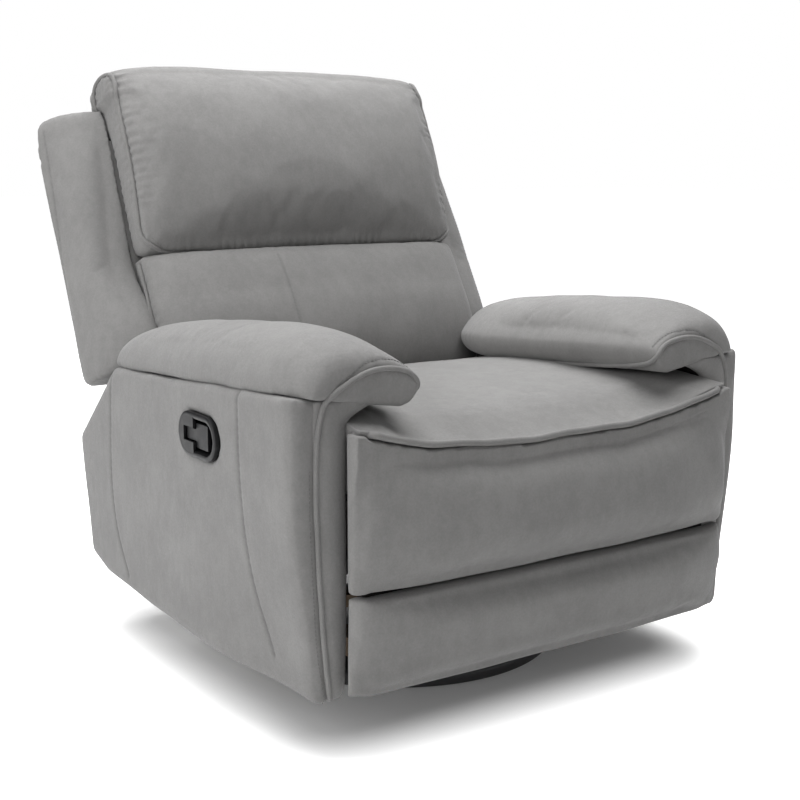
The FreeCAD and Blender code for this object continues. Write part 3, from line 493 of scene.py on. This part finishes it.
def smoothLine(corners, step=0.004):
    # even points on a curve through the corners
    p = np.array(corners, float)
    p = np.vstack([2 * p[0] - p[1], p, 2 * p[-1] - p[-2]])
    fine = []
    for a, b, c, d in zip(p[:-3], p[1:-2], p[2:-1], p[3:]):
        t = np.linspace(0, 1, 24, endpoint=False)[:, None]
        bend = (2 * a - 5 * b + 4 * c - d) * t ** 2 + (3 * b - a - 3 * c + d) * t ** 3
        fine.append(0.5 * (2 * b + (c - a) * t + bend))
    fine = np.vstack(fine + [p[-2:-1]])
    run = runOf(fine)
    at = np.linspace(0, run[-1], max(3, int(run[-1] / step)))
    return np.column_stack([np.interp(at, run, fine[:, k]) for k in range(3)])


def skinOf(*objs):
    verts, faces = [], []
    for obj in objs:
        start = len(verts)
        verts.extend(Vector(p) for p in points(obj))
        faces.extend([start + i for i in f.vertices] for f in obj.data.polygons)
    return BVHTree.FromPolygons(verts, faces)


def layOn(skin, line, lift):
    # drops a line on the covers and evens it out
    laid = []
    for p in line:
        spot, way = skin.find_nearest(Vector(p))[:2]
        laid.append(spot + way * lift)
    laid = np.array(laid)
    for turn in range(3):
        laid[1:-1] = 0.25 * laid[:-2] + 0.5 * laid[1:-1] + 0.25 * laid[2:]
    return laid


def foldDrop(look, far, s):
    # short folds that die out away from the seam, at run s along it
    wander = foldLook["wander"] * noise.noise((s * foldLook["wanderRate"], look["depth"] * 900, 0.5))
    phase = 2 * math.pi * s / look["foldPitch"] + wander
    strength = max(0.0, foldLook["gaps"] + noise.noise((s * foldLook["gapRate"], 3.1, look["width"] * 500)))
    fold = math.exp(-(far / look["foldReach"]) ** 2) * min(1.0, far / look["width"])
    return look["fold"] * strength * fold * (0.5 + 0.5 * math.sin(phase))


def pinch(obj, line, look):
    # a sewn line: the cover dips to it and gathers in short folds beside it
    co, way = points(obj), pointNormals(obj)
    reach = look.get("foldReach", 0.03) * 2
    near = np.where(((co > line.min(0) - reach) & (co < line.max(0) + reach)).all(1))[0]
    tree = KDTree(len(line))
    for i, p in enumerate(line):
        tree.insert(p, i)
    tree.balance()
    run = runOf(line)
    # seamShade holds the painted shade beside the seam, which darkens the cover's colour
    shade = np.empty(len(co), np.float32)
    store = obj.data.attributes["seamShade"].data
    store.foreach_get("value", shade)
    dark, darkWidth = look.get("shade", foldLook["shade"]), look["width"] * foldLook["shadeWidth"]
    for v in near:
        spot, i, far = tree.find(co[v])
        if far > reach:
            continue
        drop = look["depth"] * math.exp(-(far / look["width"]) ** 2)
        if "fold" in look:
            drop += foldDrop(look, far, run[i])
        co[v] -= way[v] * drop
        shade[v] = max(shade[v], dark * math.exp(-(far / darkWidth) ** 2))
    setPoints(obj, co)
    store.foreach_set("value", shade)


# welts and stitches run along lines, one mesh for each body

weltLines, stitchLines = {}, {}
weltLook = {"pitch": 0.004}
stitchLook = {"pitch": 0.0062, "length": 0.0046, "width": 0.0013}


def lineObject(name, runs):
    verts, edges, sizes = [], [], []
    for line, size in runs:
        start = len(verts)
        verts.extend(map(tuple, line))
        sizes.extend([size] * len(line))
        edges.extend((start + i, start + i + 1) for i in range(len(line) - 1))
    obj = meshPiece(name, verts, edges, [])
    obj.data.attributes.new("lineRadius", "FLOAT", "POINT").data.foreach_set("value", sizes)
    return obj


def newTree(name, sizes):
    tree = bpy.data.node_groups.new(name, "GeometryNodeTree")
    tree.interface.new_socket("Geometry", in_out="INPUT", socket_type="NodeSocketGeometry")
    for key in sizes:
        tree.interface.new_socket(key, in_out="INPUT", socket_type="NodeSocketFloat")
    tree.interface.new_socket("Geometry", in_out="OUTPUT", socket_type="NodeSocketGeometry")
    source = tree.nodes.new("NodeGroupInput")
    return tree, {s.name: Sock(tree, s) for s in source.outputs if s.name}


def endTree(tree, shape, material):
    smooth = shape.make("GeometryNodeSetShadeSmooth", {}, {"Geometry": shape})
    real = smooth.make("GeometryNodeRealizeInstances", {}, {"Geometry": smooth})
    done = real.make("GeometryNodeSetMaterial", {}, {"Geometry": real, "Material": material})
    tree.links.new(done.socket, tree.nodes.new("NodeGroupOutput").inputs["Geometry"])


def weltTree():
    tree, given = newTree("weltCord", weltLook)
    route = given["Geometry"].make("GeometryNodeMeshToCurve", {}, {"Mesh": given["Geometry"]})
    even = route.make("GeometryNodeResampleCurve", {"mode": "LENGTH"}, {"Curve": route, "Length": given["pitch"]})
    size = even.make("GeometryNodeInputNamedAttribute", {"data_type": "FLOAT"}, {"Name": "lineRadius"})
    ring = even.make("GeometryNodeCurvePrimitiveCircle", {}, {"Resolution": 10, "Radius": 1.0})
    tube = even.make("GeometryNodeCurveToMesh", {},
                     {"Curve": even, "Profile Curve": ring, "Scale": size, "Fill Caps": True})
    endTree(tree, tube, suedeWelt)
    return tree


def stitchTree():
    tree, given = newTree("threadStitch", stitchLook)
    route = given["Geometry"].make("GeometryNodeMeshToCurve", {}, {"Mesh": given["Geometry"]})
    spots = tree.nodes.new("GeometryNodeCurveToPoints")
    spots.mode = "LENGTH"
    tree.links.new(route.socket, spots.inputs["Curve"])
    tree.links.new(given["pitch"].socket, spots.inputs["Length"])
    bead = route.make("GeometryNodeMeshUVSphere", {}, {"Segments": 6, "Rings": 5, "Radius": 0.5})
    form = bead.make("ShaderNodeCombineXYZ", {}, {"X": given["width"], "Y": given["width"], "Z": given["length"]})
    thread = bead.make("GeometryNodeTransform", {}, {"Geometry": bead, "Scale": form})
    jitter = bead.make("FunctionNodeRandomValue", {"data_type": "FLOAT"}, {2: 0.86, 3: 1.1, "Seed": 7}, 1)
    rows = bead.make("GeometryNodeInstanceOnPoints", {},
                     {"Points": Sock(tree, spots.outputs["Points"]), "Instance": thread,
                      "Rotation": Sock(tree, spots.outputs["Rotation"]), "Scale": jitter})
    endTree(tree, rows, suedeThread)
    return tree


def growLines(word, lines, tree, sizes):
    for body, runs in lines.items():
        obj = lineObject(word + body, runs)
        grown = obj.modifiers.new("run", "NODES")
        grown.node_group = tree
        for item in tree.interface.items_tree:
            if item.in_out == "INPUT" and item.name in sizes:
                grown[item.identifier] = sizes[item.name]
        settle(obj)
        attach(obj, body)


def addWelt(body, line, radius):
    weltLines.setdefault(body, []).append((line, radius))


def addStitch(body, line):
    stitchLines.setdefault(body, []).append((line, stitchLook["width"]))


def dents(obj, line, look):
    # drops a sewn line into a pad and returns it on the new surface
    pinch(obj, layOn(skinOf(obj), line, 0.0), look)
    return layOn(skinOf(obj), line, 0.0018)


edgeSeam = {"depth": 0.002, "width": 0.006, "fold": 0.0042, "foldPitch": 0.017, "foldReach": 0.026}
armSeam = {"depth": 0.0014, "width": 0.005, "fold": 0.0016, "foldPitch": 0.020, "foldReach": 0.022}
lipSeam = {"depth": 0.001, "width": 0.010, "fold": 0.0018, "foldPitch": 0.042, "foldReach": 0.045}
bareSeam = {"depth": 0.0015, "width": 0.005}
plainSeam = {"depth": 0.0022, "width": 0.004}
threadSeam = {"depth": 0.0008, "width": 0.0025}
lumbarSeam = {"depth": 0.0010, "width": 0.003, "shade": 0.45}
wingSeam = {"depth": 0.001, "width": 0.003, "shade": 0.5}
stitchLift = 0.0006


# seat

seatLook = {
    "voxel": 0.0068, "soften": 4, "slack": 0.007, "pressure": 4.0, "reach": 0.026, "free": [(0, 0, 1)],
    "ripple": 0.003, "ripplePitch": 0.17, "seed": 1.3, "fill": 0.6,
    "halfWidth": 0.350, "edgeMid": 0.4375, "edgeRise": 0.040, "wave": 0.0013,
    # the lip over the footrest: reach, bow and widening, then where it starts and how flat it gets
    "front": 0.396, "nose": 0.040, "noseBow": 0.007, "noseWide": 0.034,
    "lipAhead": (0.330, 0.392), "lipUnder": 0.017, "lipFade": 0.008, "lipLift": 0.002, "lipFlat": 0.55, "lipSoften": 4,
    # the front corners that rise to the arms
    "cornerOut": (0.19, 0.33), "cornerAhead": (0.15, 0.34), "cornerLift": 0.012,
    "cornerFill": 0.022, "fillOut": (0.19, 0.30), "shoulder": 0.494,
    # the welt, whose ends sink back and down into the lip
    "weltRadius": 0.0050, "weltOut": 0.0015, "weltUp": 0.0045, "weltShort": 0.005,
    "tuckFrom": 0.93, "tuckBack": 0.022, "tuckDown": 0.008,
}


def seatEdge(x):
    # height of the seam that lies on the footrest pad
    share = np.minimum(1.0, np.abs(x) / seatLook["halfWidth"])
    wave = seatLook["wave"] * (np.sin(x * 31 + 0.6) + 0.5 * np.sin(x * 67 + 2.0))
    return seatLook["edgeMid"] + seatLook["edgeRise"] * share ** 3 + wave


def lipFront(x):
    # y of the lip's front, bowed out in the middle
    bow = seatLook["noseBow"] * (1 - np.minimum(1.0, np.abs(x) / seatLook["halfWidth"]) ** 2)
    return -seatLook["front"] - seatLook["nose"] - bow


def makeSeat(look):
    obj = makePad("seatPad", "seat_cushion", "seat", look)
    x, y, z = points(obj).T
    upward = np.clip(pointNormals(obj)[:, 2] * 2, 0, 1)
    edge = seatEdge(x)
    corner = ease(np.abs(x), *look["cornerOut"]) * ease(-y, *look["cornerAhead"]) * upward
    full = edge + look["cornerLift"] + look["cornerFill"] * ease(np.abs(x), *look["fillOut"])
    z = z + np.maximum(0, np.minimum(full, look["shoulder"]) - z) * corner
    lip = ease(-y, *look["lipAhead"]) * np.clip((z - edge + look["lipUnder"]) / look["lipFade"], 0, 1)
    low = edge + look["lipLift"]
    z = np.where(z < low, z + (low - z) * lip, low + (z - low) * (1 - look["lipFlat"] * lip))
    y = y + (lipFront(x) + look["front"]) * lip
    x = x * (1 + look["noseWide"] * lip)
    setPoints(obj, np.column_stack([x, y, z]))
    soften(obj, look["lipSoften"])
    share = np.linspace(-1, 1, 61)
    across = share * (look["halfWidth"] * (1 + look["noseWide"]) - look["weltShort"])
    tuck = ease(np.abs(share), look["tuckFrom"], 1.0)
    ahead = lipFront(across) - look["weltOut"] + look["tuckBack"] * tuck
    height = seatEdge(across) + look["weltUp"] - look["tuckDown"] * tuck
    line = smoothLine(np.column_stack([across, ahead, height]))
    pinch(obj, line, lipSeam)
    addWelt("seat", line, look["weltRadius"])


makeSeat(seatLook)


# footrest

footPadLook = {
    "voxel": 0.006, "soften": 2, "slack": 0.006, "pressure": 4.0, "reach": 0.022, "free": [(0, -1, 0)],
    "spread": (1.0, 1.0, 1.02), "ripple": 0.0022, "ripplePitch": 0.20, "seed": 2.1, "fill": 0.5,
    # how far below the top edge the pad is raised, and the gap left under the seat's seam
    "column": 0.02, "raisedFrom": 0.09, "raisedTo": 0.006, "under": 0.001,
    # the face comes forward to the lip; faces that look ahead move most
    "flush": 0.003, "flushTo": 0.02, "flushGain": 1.6, "flushSoften": 3,
    # lower corners drawn out square
    "square": 0.006, "squareOut": (0.335, 0.362), "squareLow": (-0.275, -0.252),
}
footPanelLook = {
    "voxel": 0.006, "soften": 2, "slack": 0.006, "pressure": 4.0, "reach": 0.018, "free": [(0, -1, 0)],
    "spread": (1.034, 1.0, 1.024), "ripple": 0.0018, "ripplePitch": 0.16, "seed": 3.7, "fill": 0.5,
    # upper corners drawn out square, and the upper face brought forward to the pad
    "square": 0.005, "squareOut": (0.330, 0.360), "squareHigh": (0.218, 0.240),
    "forward": 0.014, "forwardFace": (0.415, 0.432), "forwardHigh": (0.13, 0.21),
}


def makeFootPad(look):
    obj = makePad("footrestPad", "footrest_upper_pad", "footrest", look)
    x, y, z = points(obj).T
    ahead = np.clip(-pointNormals(obj)[:, 1] * look["flushGain"], 0, 1)
    # the top edge comes up under the seat's welt
    column = np.round(x / look["column"])
    across = np.unique(column)
    top = np.interp(x, across * look["column"], [z[column == c].max() for c in across])
    raised = ease(z, top - look["raisedFrom"], top - look["raisedTo"])
    z = z + (seatEdge(x) - look["under"] - top) * raised
    z = z - look["square"] * ease(np.abs(x), *look["squareOut"]) * ease(-z, *look["squareLow"])
    near = ease(z, top - look["raisedFrom"], top - look["flushTo"]) * ahead
    y = y + np.minimum(0, lipFront(x) - look["flush"] - y) * near
    setPoints(obj, np.column_stack([x, y, z]))
    soften(obj, look["flushSoften"])


def makeFootPanel(look):
    obj = makePad("footrestPanel", "footrest_lower_panel", "footrest", look)
    x, y, z = points(obj).T
    z = z + look["square"] * ease(np.abs(x), *look["squareOut"]) * ease(z, *look["squareHigh"])
    y = y - look["forward"] * ease(-y, *look["forwardFace"]) * ease(z, *look["forwardHigh"])
    setPoints(obj, np.column_stack([x, y, z]))


makeFootPad(footPadLook)
makeFootPanel(footPanelLook)


# back, in its own leaning frame: depth to the rear, height along the back

backLook = {
    "pivot": (0.250, 0.260), "lean": math.radians(22), "front": (0, -0.927, 0.375), "up": (0, 0.375, 0.927),
}


def leaned(x, depth, height):
    c, s = math.cos(backLook["lean"]), math.sin(backLook["lean"])
    y, z = backLook["pivot"]
    return (x, y + depth * c + height * s, z - depth * s + height * c)


def leanOf(co):
    # depth and height of points in the leaning frame
    c, s = math.cos(backLook["lean"]), math.sin(backLook["lean"])
    y, z = co[:, 1] - backLook["pivot"][0], co[:, 2] - backLook["pivot"][1]
    return y * c - z * s, y * s + z * c


def leanedLine(route):
    return smoothLine([leaned(*p) for p in route])


lumbarLook = {
    "voxel": 0.006, "soften": 4, "slack": 0.006, "pressure": 4.0, "reach": 0.022, "free": [backLook["front"]],
    "spread": (1.034, 1.0, 1.0), "ripple": 0.003, "ripplePitch": 0.15, "seed": 4.4, "fill": 0.55,
    # the top is filled out to the head cushion
    "top": 0.408, "fullShare": 0.92, "fullHigh": (0.310, 0.385),
    # welts along both edges
    "edge": 0.337, "edgeDepth": -0.082, "edgeBow": 0.012, "low": 0.150, "high": 0.396, "weltRadius": 0.0034,
    # faint seam down the middle
    "middle": -0.092, "middleBow": 0.012, "middleDepth": -0.17, "middleTop": 0.392, "middleRun": 0.25,
}


def makeLumbar(look):
    obj = makePad("lumbarPad", "lumbar_cushion", "back", look)
    co = points(obj)
    depth, height = leanOf(co)
    lift = np.maximum(0, look["top"] - height) * look["fullShare"] * ease(height, *look["fullHigh"])
    setPoints(obj, co + np.outer(lift, backLook["up"]))
    for side in (-1, 1):
        route = [(side * look["edge"], look["edgeDepth"] - look["edgeBow"] * math.sin(t * math.pi),
                  look["low"] + t * (look["high"] - look["low"])) for t in np.linspace(0, 1, 9)]
        addWelt("back", dents(obj, leanedLine(route), edgeSeam), look["weltRadius"])
    route = [(look["middle"] + look["middleBow"] * t * t, look["middleDepth"],
              look["middleTop"] - look["middleRun"] * t) for t in np.linspace(0, 1, 7)]
    dents(obj, leanedLine(route), lumbarSeam)


headLook = {
    "voxel": 0.0068, "soften": 4, "slack": 0.007, "pressure": 4.0, "reach": 0.026,
    "free": [backLook["front"], backLook["up"]],
    "spread": (1.037, 1.0, 1.0), "ripple": 0.003, "ripplePitch": 0.16, "seed": 5.9, "fill": 0.65,
    # the bottom hangs to the lumbar pad, and the top corners stand out over the wings
    "sag": 0.006, "sagLow": (-0.46, -0.41), "shoulder": 0.013, "shoulderSide": 0.6,
    "shoulderHigh": (0.698, 0.718), "shoulderOut": (0.25, 0.33), "shoulderBack": (-0.10, -0.03),
    # the welt: side edge, front and rear depth, ends, rounded lower corners
    "edge": 0.331, "frontDepth": -0.122, "frontBow": 0.012, "rearDepth": -0.036, "low": 0.404, "high": 0.752,
    "frontTop": 0.02, "rearTop": 0.03, "corner": 0.040, "cornerCut": 0.3, "cornerTuck": 0.004, "tuck": 0.010,
    # over the top of the side panel: depth, and height from the top
    "overTop": [(-0.046, -0.006), (-0.070, 0.0), (-0.102, -0.004)],
    "weltRadius": 0.0038, "stitchIn": 0.009,
}


def headRoute(look, inset):
    # down one front edge and round its corner, and along the bottom to the other corner
    x, low, high = look["edge"] - inset, look["low"] + inset, look["high"] - inset
    front, corner = look["frontDepth"], look["corner"]
    rise = high - low - corner - look["frontTop"]
    half = [(x, front + look["frontBow"] * (1 - math.sin(t * math.pi)), low + corner + t * rise)
            for t in np.linspace(1, 0, 9)]
    cut = look["cornerCut"] * corner
    half += [(x - cut, front + look["cornerTuck"], low + cut), (x - corner, front + look["tuck"], low)]
    bottom = [(t * (x - 2 * corner), front + look["tuck"], low) for t in np.linspace(1, -1, 11)]
    return half, bottom


def mirrored(route):
    return [(-x, depth, height) for x, depth, height in route[::-1]]


def makeHead(look):
    obj = makePad("headPad", "head_cushion", "back", look)
    co = points(obj)
    depth, height = leanOf(co)
    co -= np.outer(look["sag"] * ease(-height, *look["sagLow"]), backLook["up"])
    corner = look["shoulder"] * ease(height, *look["shoulderHigh"]) * ease(np.abs(co[:, 0]), *look["shoulderOut"])
    co[:, 0] += np.sign(co[:, 0]) * look["shoulderSide"] * corner
    co -= np.outer(corner * ease(depth, *look["shoulderBack"]), backLook["front"])
    setPoints(obj, co)
    # one welt: up a side panel's rear edge, over its top, round the front and down the other panel
    x, high = look["edge"], look["high"]
    panel = [(x, look["rearDepth"], h) for h in np.linspace(look["low"], high - look["rearTop"], 9)]
    panel += [(x, d, high + h) for d, h in look["overTop"]]
    half, bottom = headRoute(look, 0.0)
    route = panel + half + bottom + mirrored(panel + half)
    addWelt("back", dents(obj, leanedLine(route), edgeSeam), look["weltRadius"])
    half, bottom = headRoute(look, look["stitchIn"])
    addStitch("back", layOn(skinOf(obj), leanedLine(half + bottom + mirrored(half)), stitchLift))


makeLumbar(lumbarLook)
makeHead(headLook)

wingLook = {
    "voxel": 0.006, "soften": 4, "slack": 0.004, "pressure": 3.0, "reach": 0.014,
    "ripple": 0.0020, "ripplePitch": 0.17, "seed": 6.2, "fill": 0.5,
    # fuller front edge, a top that falls to the front, and an inner edge pressed on the head pad's boxing
    "push": 0.009, "pushAhead": (0.03, 0.09), "pushHigh": (0.20, 0.30),
    "drop": 0.020, "dropHigh": (0.58, 0.72), "dropAhead": (-0.01, 0.10),
    "press": 0.010, "pressIn": (-0.400, -0.352), "pressAhead": (0.060, 0.085),
    # faint rear seam
    "seamOut": 0.4385, "seamDepth": 0.012, "seamLean": 0.004, "seamLow": 0.24, "seamRun": 0.45,
}


def makeWing(word, side):
    look = dict(wingLook, seed=wingLook["seed"] + side, free=[(side, 0, 0), backLook["front"]])
    obj = makePad("wing" + word, "back_wing_" + word.lower(), "back", look)
    co = points(obj)
    depth, height = leanOf(co)
    push = look["push"] * ease(-depth, *look["pushAhead"]) * ease(height, *look["pushHigh"])
    drop = look["drop"] * ease(height, *look["dropHigh"]) * ease(-depth, *look["dropAhead"])
    co += np.outer(push, backLook["front"]) - np.outer(drop, backLook["up"])
    inner = ease(-np.abs(co[:, 0]), *look["pressIn"]) * ease(-depth, *look["pressAhead"])
    co[:, 0] -= side * look["press"] * inner
    setPoints(obj, co)
    seam = [(side * look["seamOut"], look["seamDepth"] - look["seamLean"] * t, look["seamLow"] + look["seamRun"] * t)
            for t in np.linspace(0, 1, 8)]
    dents(obj, leanedLine(seam), wingSeam)


liningLook = {
    "halfWidth": 0.3395, "depth": -0.0555, "low": 0.14, "high": 0.645, "steps": (28, 22), "sag": 0.0012, "wall": 0.0009,
}


def makeLining(look):
    # cloth tacked over the front of the back frame, behind the cushions
    across, up = look["steps"]
    rise = look["high"] - look["low"]
    verts, faces = [], []
    for j in range(up + 1):
        for i in range(across + 1):
            u, v = i / across, j / up
            sag = look["sag"] * math.sin(math.pi * u) * math.sin(math.pi * v)
            verts.append(leaned(look["halfWidth"] * (2 * u - 1), look["depth"] + sag, look["low"] + v * rise))
    for j in range(up):
        for i in range(across):
            a = j * (across + 1) + i
            faces.append((a, a + 1, a + across + 2, a + across + 1))
    obj = meshPiece("backLining", verts, [], faces)
    smoothFaces(obj, suedeCover)
    wall = obj.modifiers.new("wall", "SOLIDIFY")
    wall.thickness = look["wall"]
    settle(obj)
    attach(obj, "back")


backCoverLook = {
    "voxel": 0.0095, "soften": 3, "ripple": 0.0016, "ripplePitch": 0.2, "seed": 7.5, "fill": 0.3,
    # the lower edge runs on as a flap that closes the gap over the rear rail
    "flap": 0.066, "flapLow": (-0.16, -0.075),
}
rearPanelLook = {
    "voxel": 0.004, "soften": 3, "ripple": 0.0016, "ripplePitch": 0.2, "seed": 8.8, "fill": 0.3,
    # the top edge is turned over the rail
    "overRail": (0, -0.016, 0.005), "overRailHigh": (0.262, 0.277),
}


def makeBackCover(look):
    obj = makePad("backCover", "outer_back_cover", "back", look)
    co = points(obj)
    depth, height = leanOf(co)
    setPoints(obj, co - np.outer(look["flap"] * ease(-height, *look["flapLow"]), backLook["up"]))


def makeRearPanel(look):
    obj = makePad("rearPanel", "rear_cover", "chair_frame", look)
    co = points(obj)
    setPoints(obj, co + np.outer(ease(co[:, 2], *look["overRailHigh"]), look["overRail"]))


makeLining(liningLook)
makeWing("Right", -1)
makeWing("Left", 1)
makeBackCover(backCoverLook)
makeRearPanel(rearPanelLook)


# arms

armTopLook = {
    "voxel": 0.0056, "soften": 3, "slack": 0.005, "pressure": 4.0, "reach": 0.018,
    "ripple": 0.003, "ripplePitch": 0.14, "seed": 9.1, "fill": 0.65,
    # the rear end is drawn back, most on the outer side
    "rearPull": 0.014, "rearPullMore": 0.012, "pullOut": (0.30, 0.42), "pullBack": (0.02, 0.20),
}
armSideLook = {
    "voxel": 0.0062, "soften": 2, "plump": 0.002, "ripple": 0.0026, "ripplePitch": 0.22, "seed": 10.4, "fill": 0.35,
    # the side comes round to the front welt, and its lower front is drawn in
    "wrap": 0.012, "wrapAhead": (0.32, 0.375),
    "drawIn": 0.028, "drawLow": (-0.40, -0.10), "drawAhead": (0.10, 0.36), "drawOut": (0.385, 0.43),
    # two plain seams, as y and z on the outer face
    "face": 0.446,
    "seams": [[(0.219, 0.487), (0.232, 0.349), (0.221, 0.225), (0.173, 0.138)],
              [(-0.240, 0.530), (-0.243, 0.390), (-0.261, 0.245), (-0.299, 0.135)]],
}
armFrontLook = {
    "voxel": 0.0042, "soften": 2, "ripple": 0.0012, "ripplePitch": 0.1, "seed": 11.7, "fill": 0.45,
    # the inner edge curves out under the arm's nose
    "fillet": 0.075, "filletFrom": 0.407, "filletSpan": 0.054, "filletHigh": (0.478, 0.530), "filletBend": 1.5,
}
armWeltLook = {
    "front": -0.396, "radius": 0.0040, "lift": 0.0012, "stitchOut": 0.006, "stitchBack": 0.012,
    # up the front panel and over the nose, as x and z
    "route": [(0.384, 0.088), (0.395, 0.186), (0.403, 0.303), (0.405, 0.416), (0.399, 0.485), (0.386, 0.524),
              (0.359, 0.543), (0.327, 0.556), (0.294, 0.559), (0.260, 0.553), (0.242, 0.542)],
    # from the nose along the underside to the rear
    "under": [(0.239, -0.388, 0.526), (0.244, -0.350, 0.517), (0.250, -0.290, 0.512), (0.256, -0.210, 0.508),
              (0.260, -0.120, 0.504), (0.262, -0.020, 0.498), (0.272, 0.050, 0.494)],
}


def makeArmTop(word, side):
    free = [(0, 0, 1), (-side, 0, 0), (0, -1, 0)]
    look = dict(armTopLook, seed=armTopLook["seed"] + side, free=free)
    obj = makePad("armTop" + word, "arm_top_" + word.lower(), "chair_frame", look)
    co = points(obj)
    pull = look["rearPull"] + look["rearPullMore"] * ease(np.abs(co[:, 0]), *look["pullOut"])
    co[:, 1] += pull * ease(co[:, 1], *look["pullBack"])
    setPoints(obj, co)
    return obj


def makeArmSide(word, side):
    look = dict(armSideLook, seed=armSideLook["seed"] + side, free=[(side, 0, 0), (0, 1, 0)])
    obj = makePad("armSide" + word, "arm_side_" + word.lower(), "chair_frame", look)
    co = points(obj)
    co[:, 1] -= look["wrap"] * ease(-co[:, 1], *look["wrapAhead"])
    low = ease(-co[:, 2], *look["drawLow"]) * ease(-co[:, 1], *look["drawAhead"])
    co[:, 0] -= side * look["drawIn"] * low * ease(np.abs(co[:, 0]), *look["drawOut"])
    setPoints(obj, co)
    for seam in look["seams"]:
        dents(obj, smoothLine([(side * look["face"], y, z) for y, z in seam]), plainSeam)
    return obj


def makeArmFront(word, side):
    look = dict(armFrontLook, seed=armFrontLook["seed"] + side)
    obj = makePad("armFront" + word, "arm_front_" + word.lower(), "chair_frame", look)
    co = points(obj)
    inner = np.clip((look["filletFrom"] - np.abs(co[:, 0])) / look["filletSpan"], 0, 1)
    co[:, 0] -= side * look["fillet"] * inner * ease(co[:, 2], *look["filletHigh"]) ** look["filletBend"]
    setPoints(obj, co)
    return obj


def besideRoute(line, out, back):
    # a second line beside a welt, on the outer side of its bend
    along = np.gradient(line, axis=0)
    normal = np.column_stack([along[:, 2], np.zeros(len(line)), -along[:, 0]])
    normal /= np.linalg.norm(normal, axis=1, keepdims=True) + 1e-9
    facing = np.sign(((line - line.mean(0)) * normal).sum())
    return line + normal * facing * out + np.array((0, back, 0))


def makeArm(word, side):
    look = armWeltLook
    top, panel, face = makeArmTop(word, side), makeArmSide(word, side), makeArmFront(word, side)
    line = smoothLine([(side * x, look["front"], z) for x, z in look["route"]])
    pinch(top, line, armSeam)
    pinch(face, line, bareSeam)
    under = smoothLine([line[-1]] + [(side * x, y, z) for x, y, z in look["under"]])
    beside = besideRoute(line, look["stitchOut"], look["stitchBack"])
    dents(top, beside[len(line) // 2:], threadSeam)
    skin = skinOf(top, face, panel)
    addWelt("chair_frame", layOn(skin, np.vstack([line, under[1:]]), look["lift"]), look["radius"])
    addStitch("chair_frame", layOn(skin, beside, stitchLift))


makeArm("Right", -1)
makeArm("Left", 1)


# release lever

leverLook = {
    "middle": (-0.120, 0.434), "halfRun": 0.028, "radius": 0.033, "around": 40,
    # outward from the cup's edge, and how far out of the arm
    "profile": [(0.0012, -0.4398), (0.0020, -0.4445), (0.0014, -0.4476), (-0.0002, -0.4488), (-0.0044, -0.4490),
                (-0.0066, -0.4482), (-0.0078, -0.4462), (-0.0084, -0.4395), (-0.0088, -0.4300), (-0.0098, -0.4075),
                (-0.0140, -0.4036)],
    # plate round the paddle's stem: inset, front edge, half slot, rear end of the slot, outer and inner face
    "cheekIn": 0.0048, "cheekFront": -0.1105, "cheekGap": 0.0112, "cheekRear": -0.0780,
    "cheekFace": (-0.44895, -0.4445), "cheekSteps": 21,
    "paddleEdge": 0.0011, "paddleSteps": 3, "paddleBend": math.radians(40), "sharpBend": math.radians(35),
}


def cupShell(look):
    # rim, wall and floor of the cup, ring by ring
    ring = []
    for i in range(look["around"]):
        angle = 2 * math.pi * (i + 0.5) / look["around"]
        ring.append((math.copysign(look["halfRun"], math.cos(angle)), math.cos(angle), math.sin(angle)))
    y, z = look["middle"]
    count, verts, faces = len(ring), [], []
    for out, x in look["profile"]:
        size = look["radius"] + out
        verts += [(x, y + run + size * c, z + size * s) for run, c, s in ring]
    last = len(verts) - count
    for row in range(0, last, count):
        for i in range(count):
            j = (i + 1) % count
            faces.append((row + count + i, row + count + j, row + j, row + i))
    faces.append([last + i for i in reversed(range(count))])
    return verts, faces


def cheekPlate(look, start):
    # a C round the paddle's stem, with vertex numbers from start
    inner, gap = look["radius"] - look["cheekIn"], look["cheekGap"]
    front, rear = look["cheekFront"], look["cheekRear"]
    y, z = look["middle"]
    arc = [(y + look["halfRun"] + inner * math.cos(a), inner * math.sin(a))
           for a in np.linspace(math.pi / 2, -math.pi / 2, look["cheekSteps"])]
    outline = [(front, gap), (front, inner)] + arc + [(front, -inner), (front, -gap), (rear, -gap), (rear, gap)]
    verts = [(x, across, z + up) for x in look["cheekFace"] for across, up in outline]
    size = len(outline)
    outer = [start + i for i in range(size)]
    back = [start + size + i for i in range(size)]
    faces = [outer, back[::-1]]
    faces += [(outer[i], outer[i - 1], back[i - 1], back[i]) for i in range(size)]
    return verts, faces


def plasticPart(obj, node, body):
    smoothFaces(obj, blackPlastic)
    obj.data.set_sharp_from_angle(angle=leverLook["sharpBend"])
    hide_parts(node)
    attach(obj, body)


def makeBezel(look):
    verts, faces = cupShell(look)
    plateVerts, plateFaces = cheekPlate(look, len(verts))
    obj = meshPiece("leverBezel", verts + plateVerts, [], faces + plateFaces)
    plasticPart(obj, "lever_cup", "chair_frame")


def makePaddle(look):
    obj = formOf("release_paddle", "leverPaddle")
    edge = obj.modifiers.new("edge", "BEVEL")
    edge.width, edge.segments = look["paddleEdge"], look["paddleSteps"]
    edge.limit_method, edge.angle_limit = "ANGLE", look["paddleBend"]
    settle(obj)
    plasticPart(obj, "release_paddle", "release_lever")


makeBezel(leverLook)
makePaddle(leverLook)
print("lever made")

growLines("welt_", weltLines, weltTree(), weltLook)
growLines("stitches_", stitchLines, stitchTree(), stitchLook)
print("welts on", sorted(weltLines), "stitches on", sorted(stitchLines))
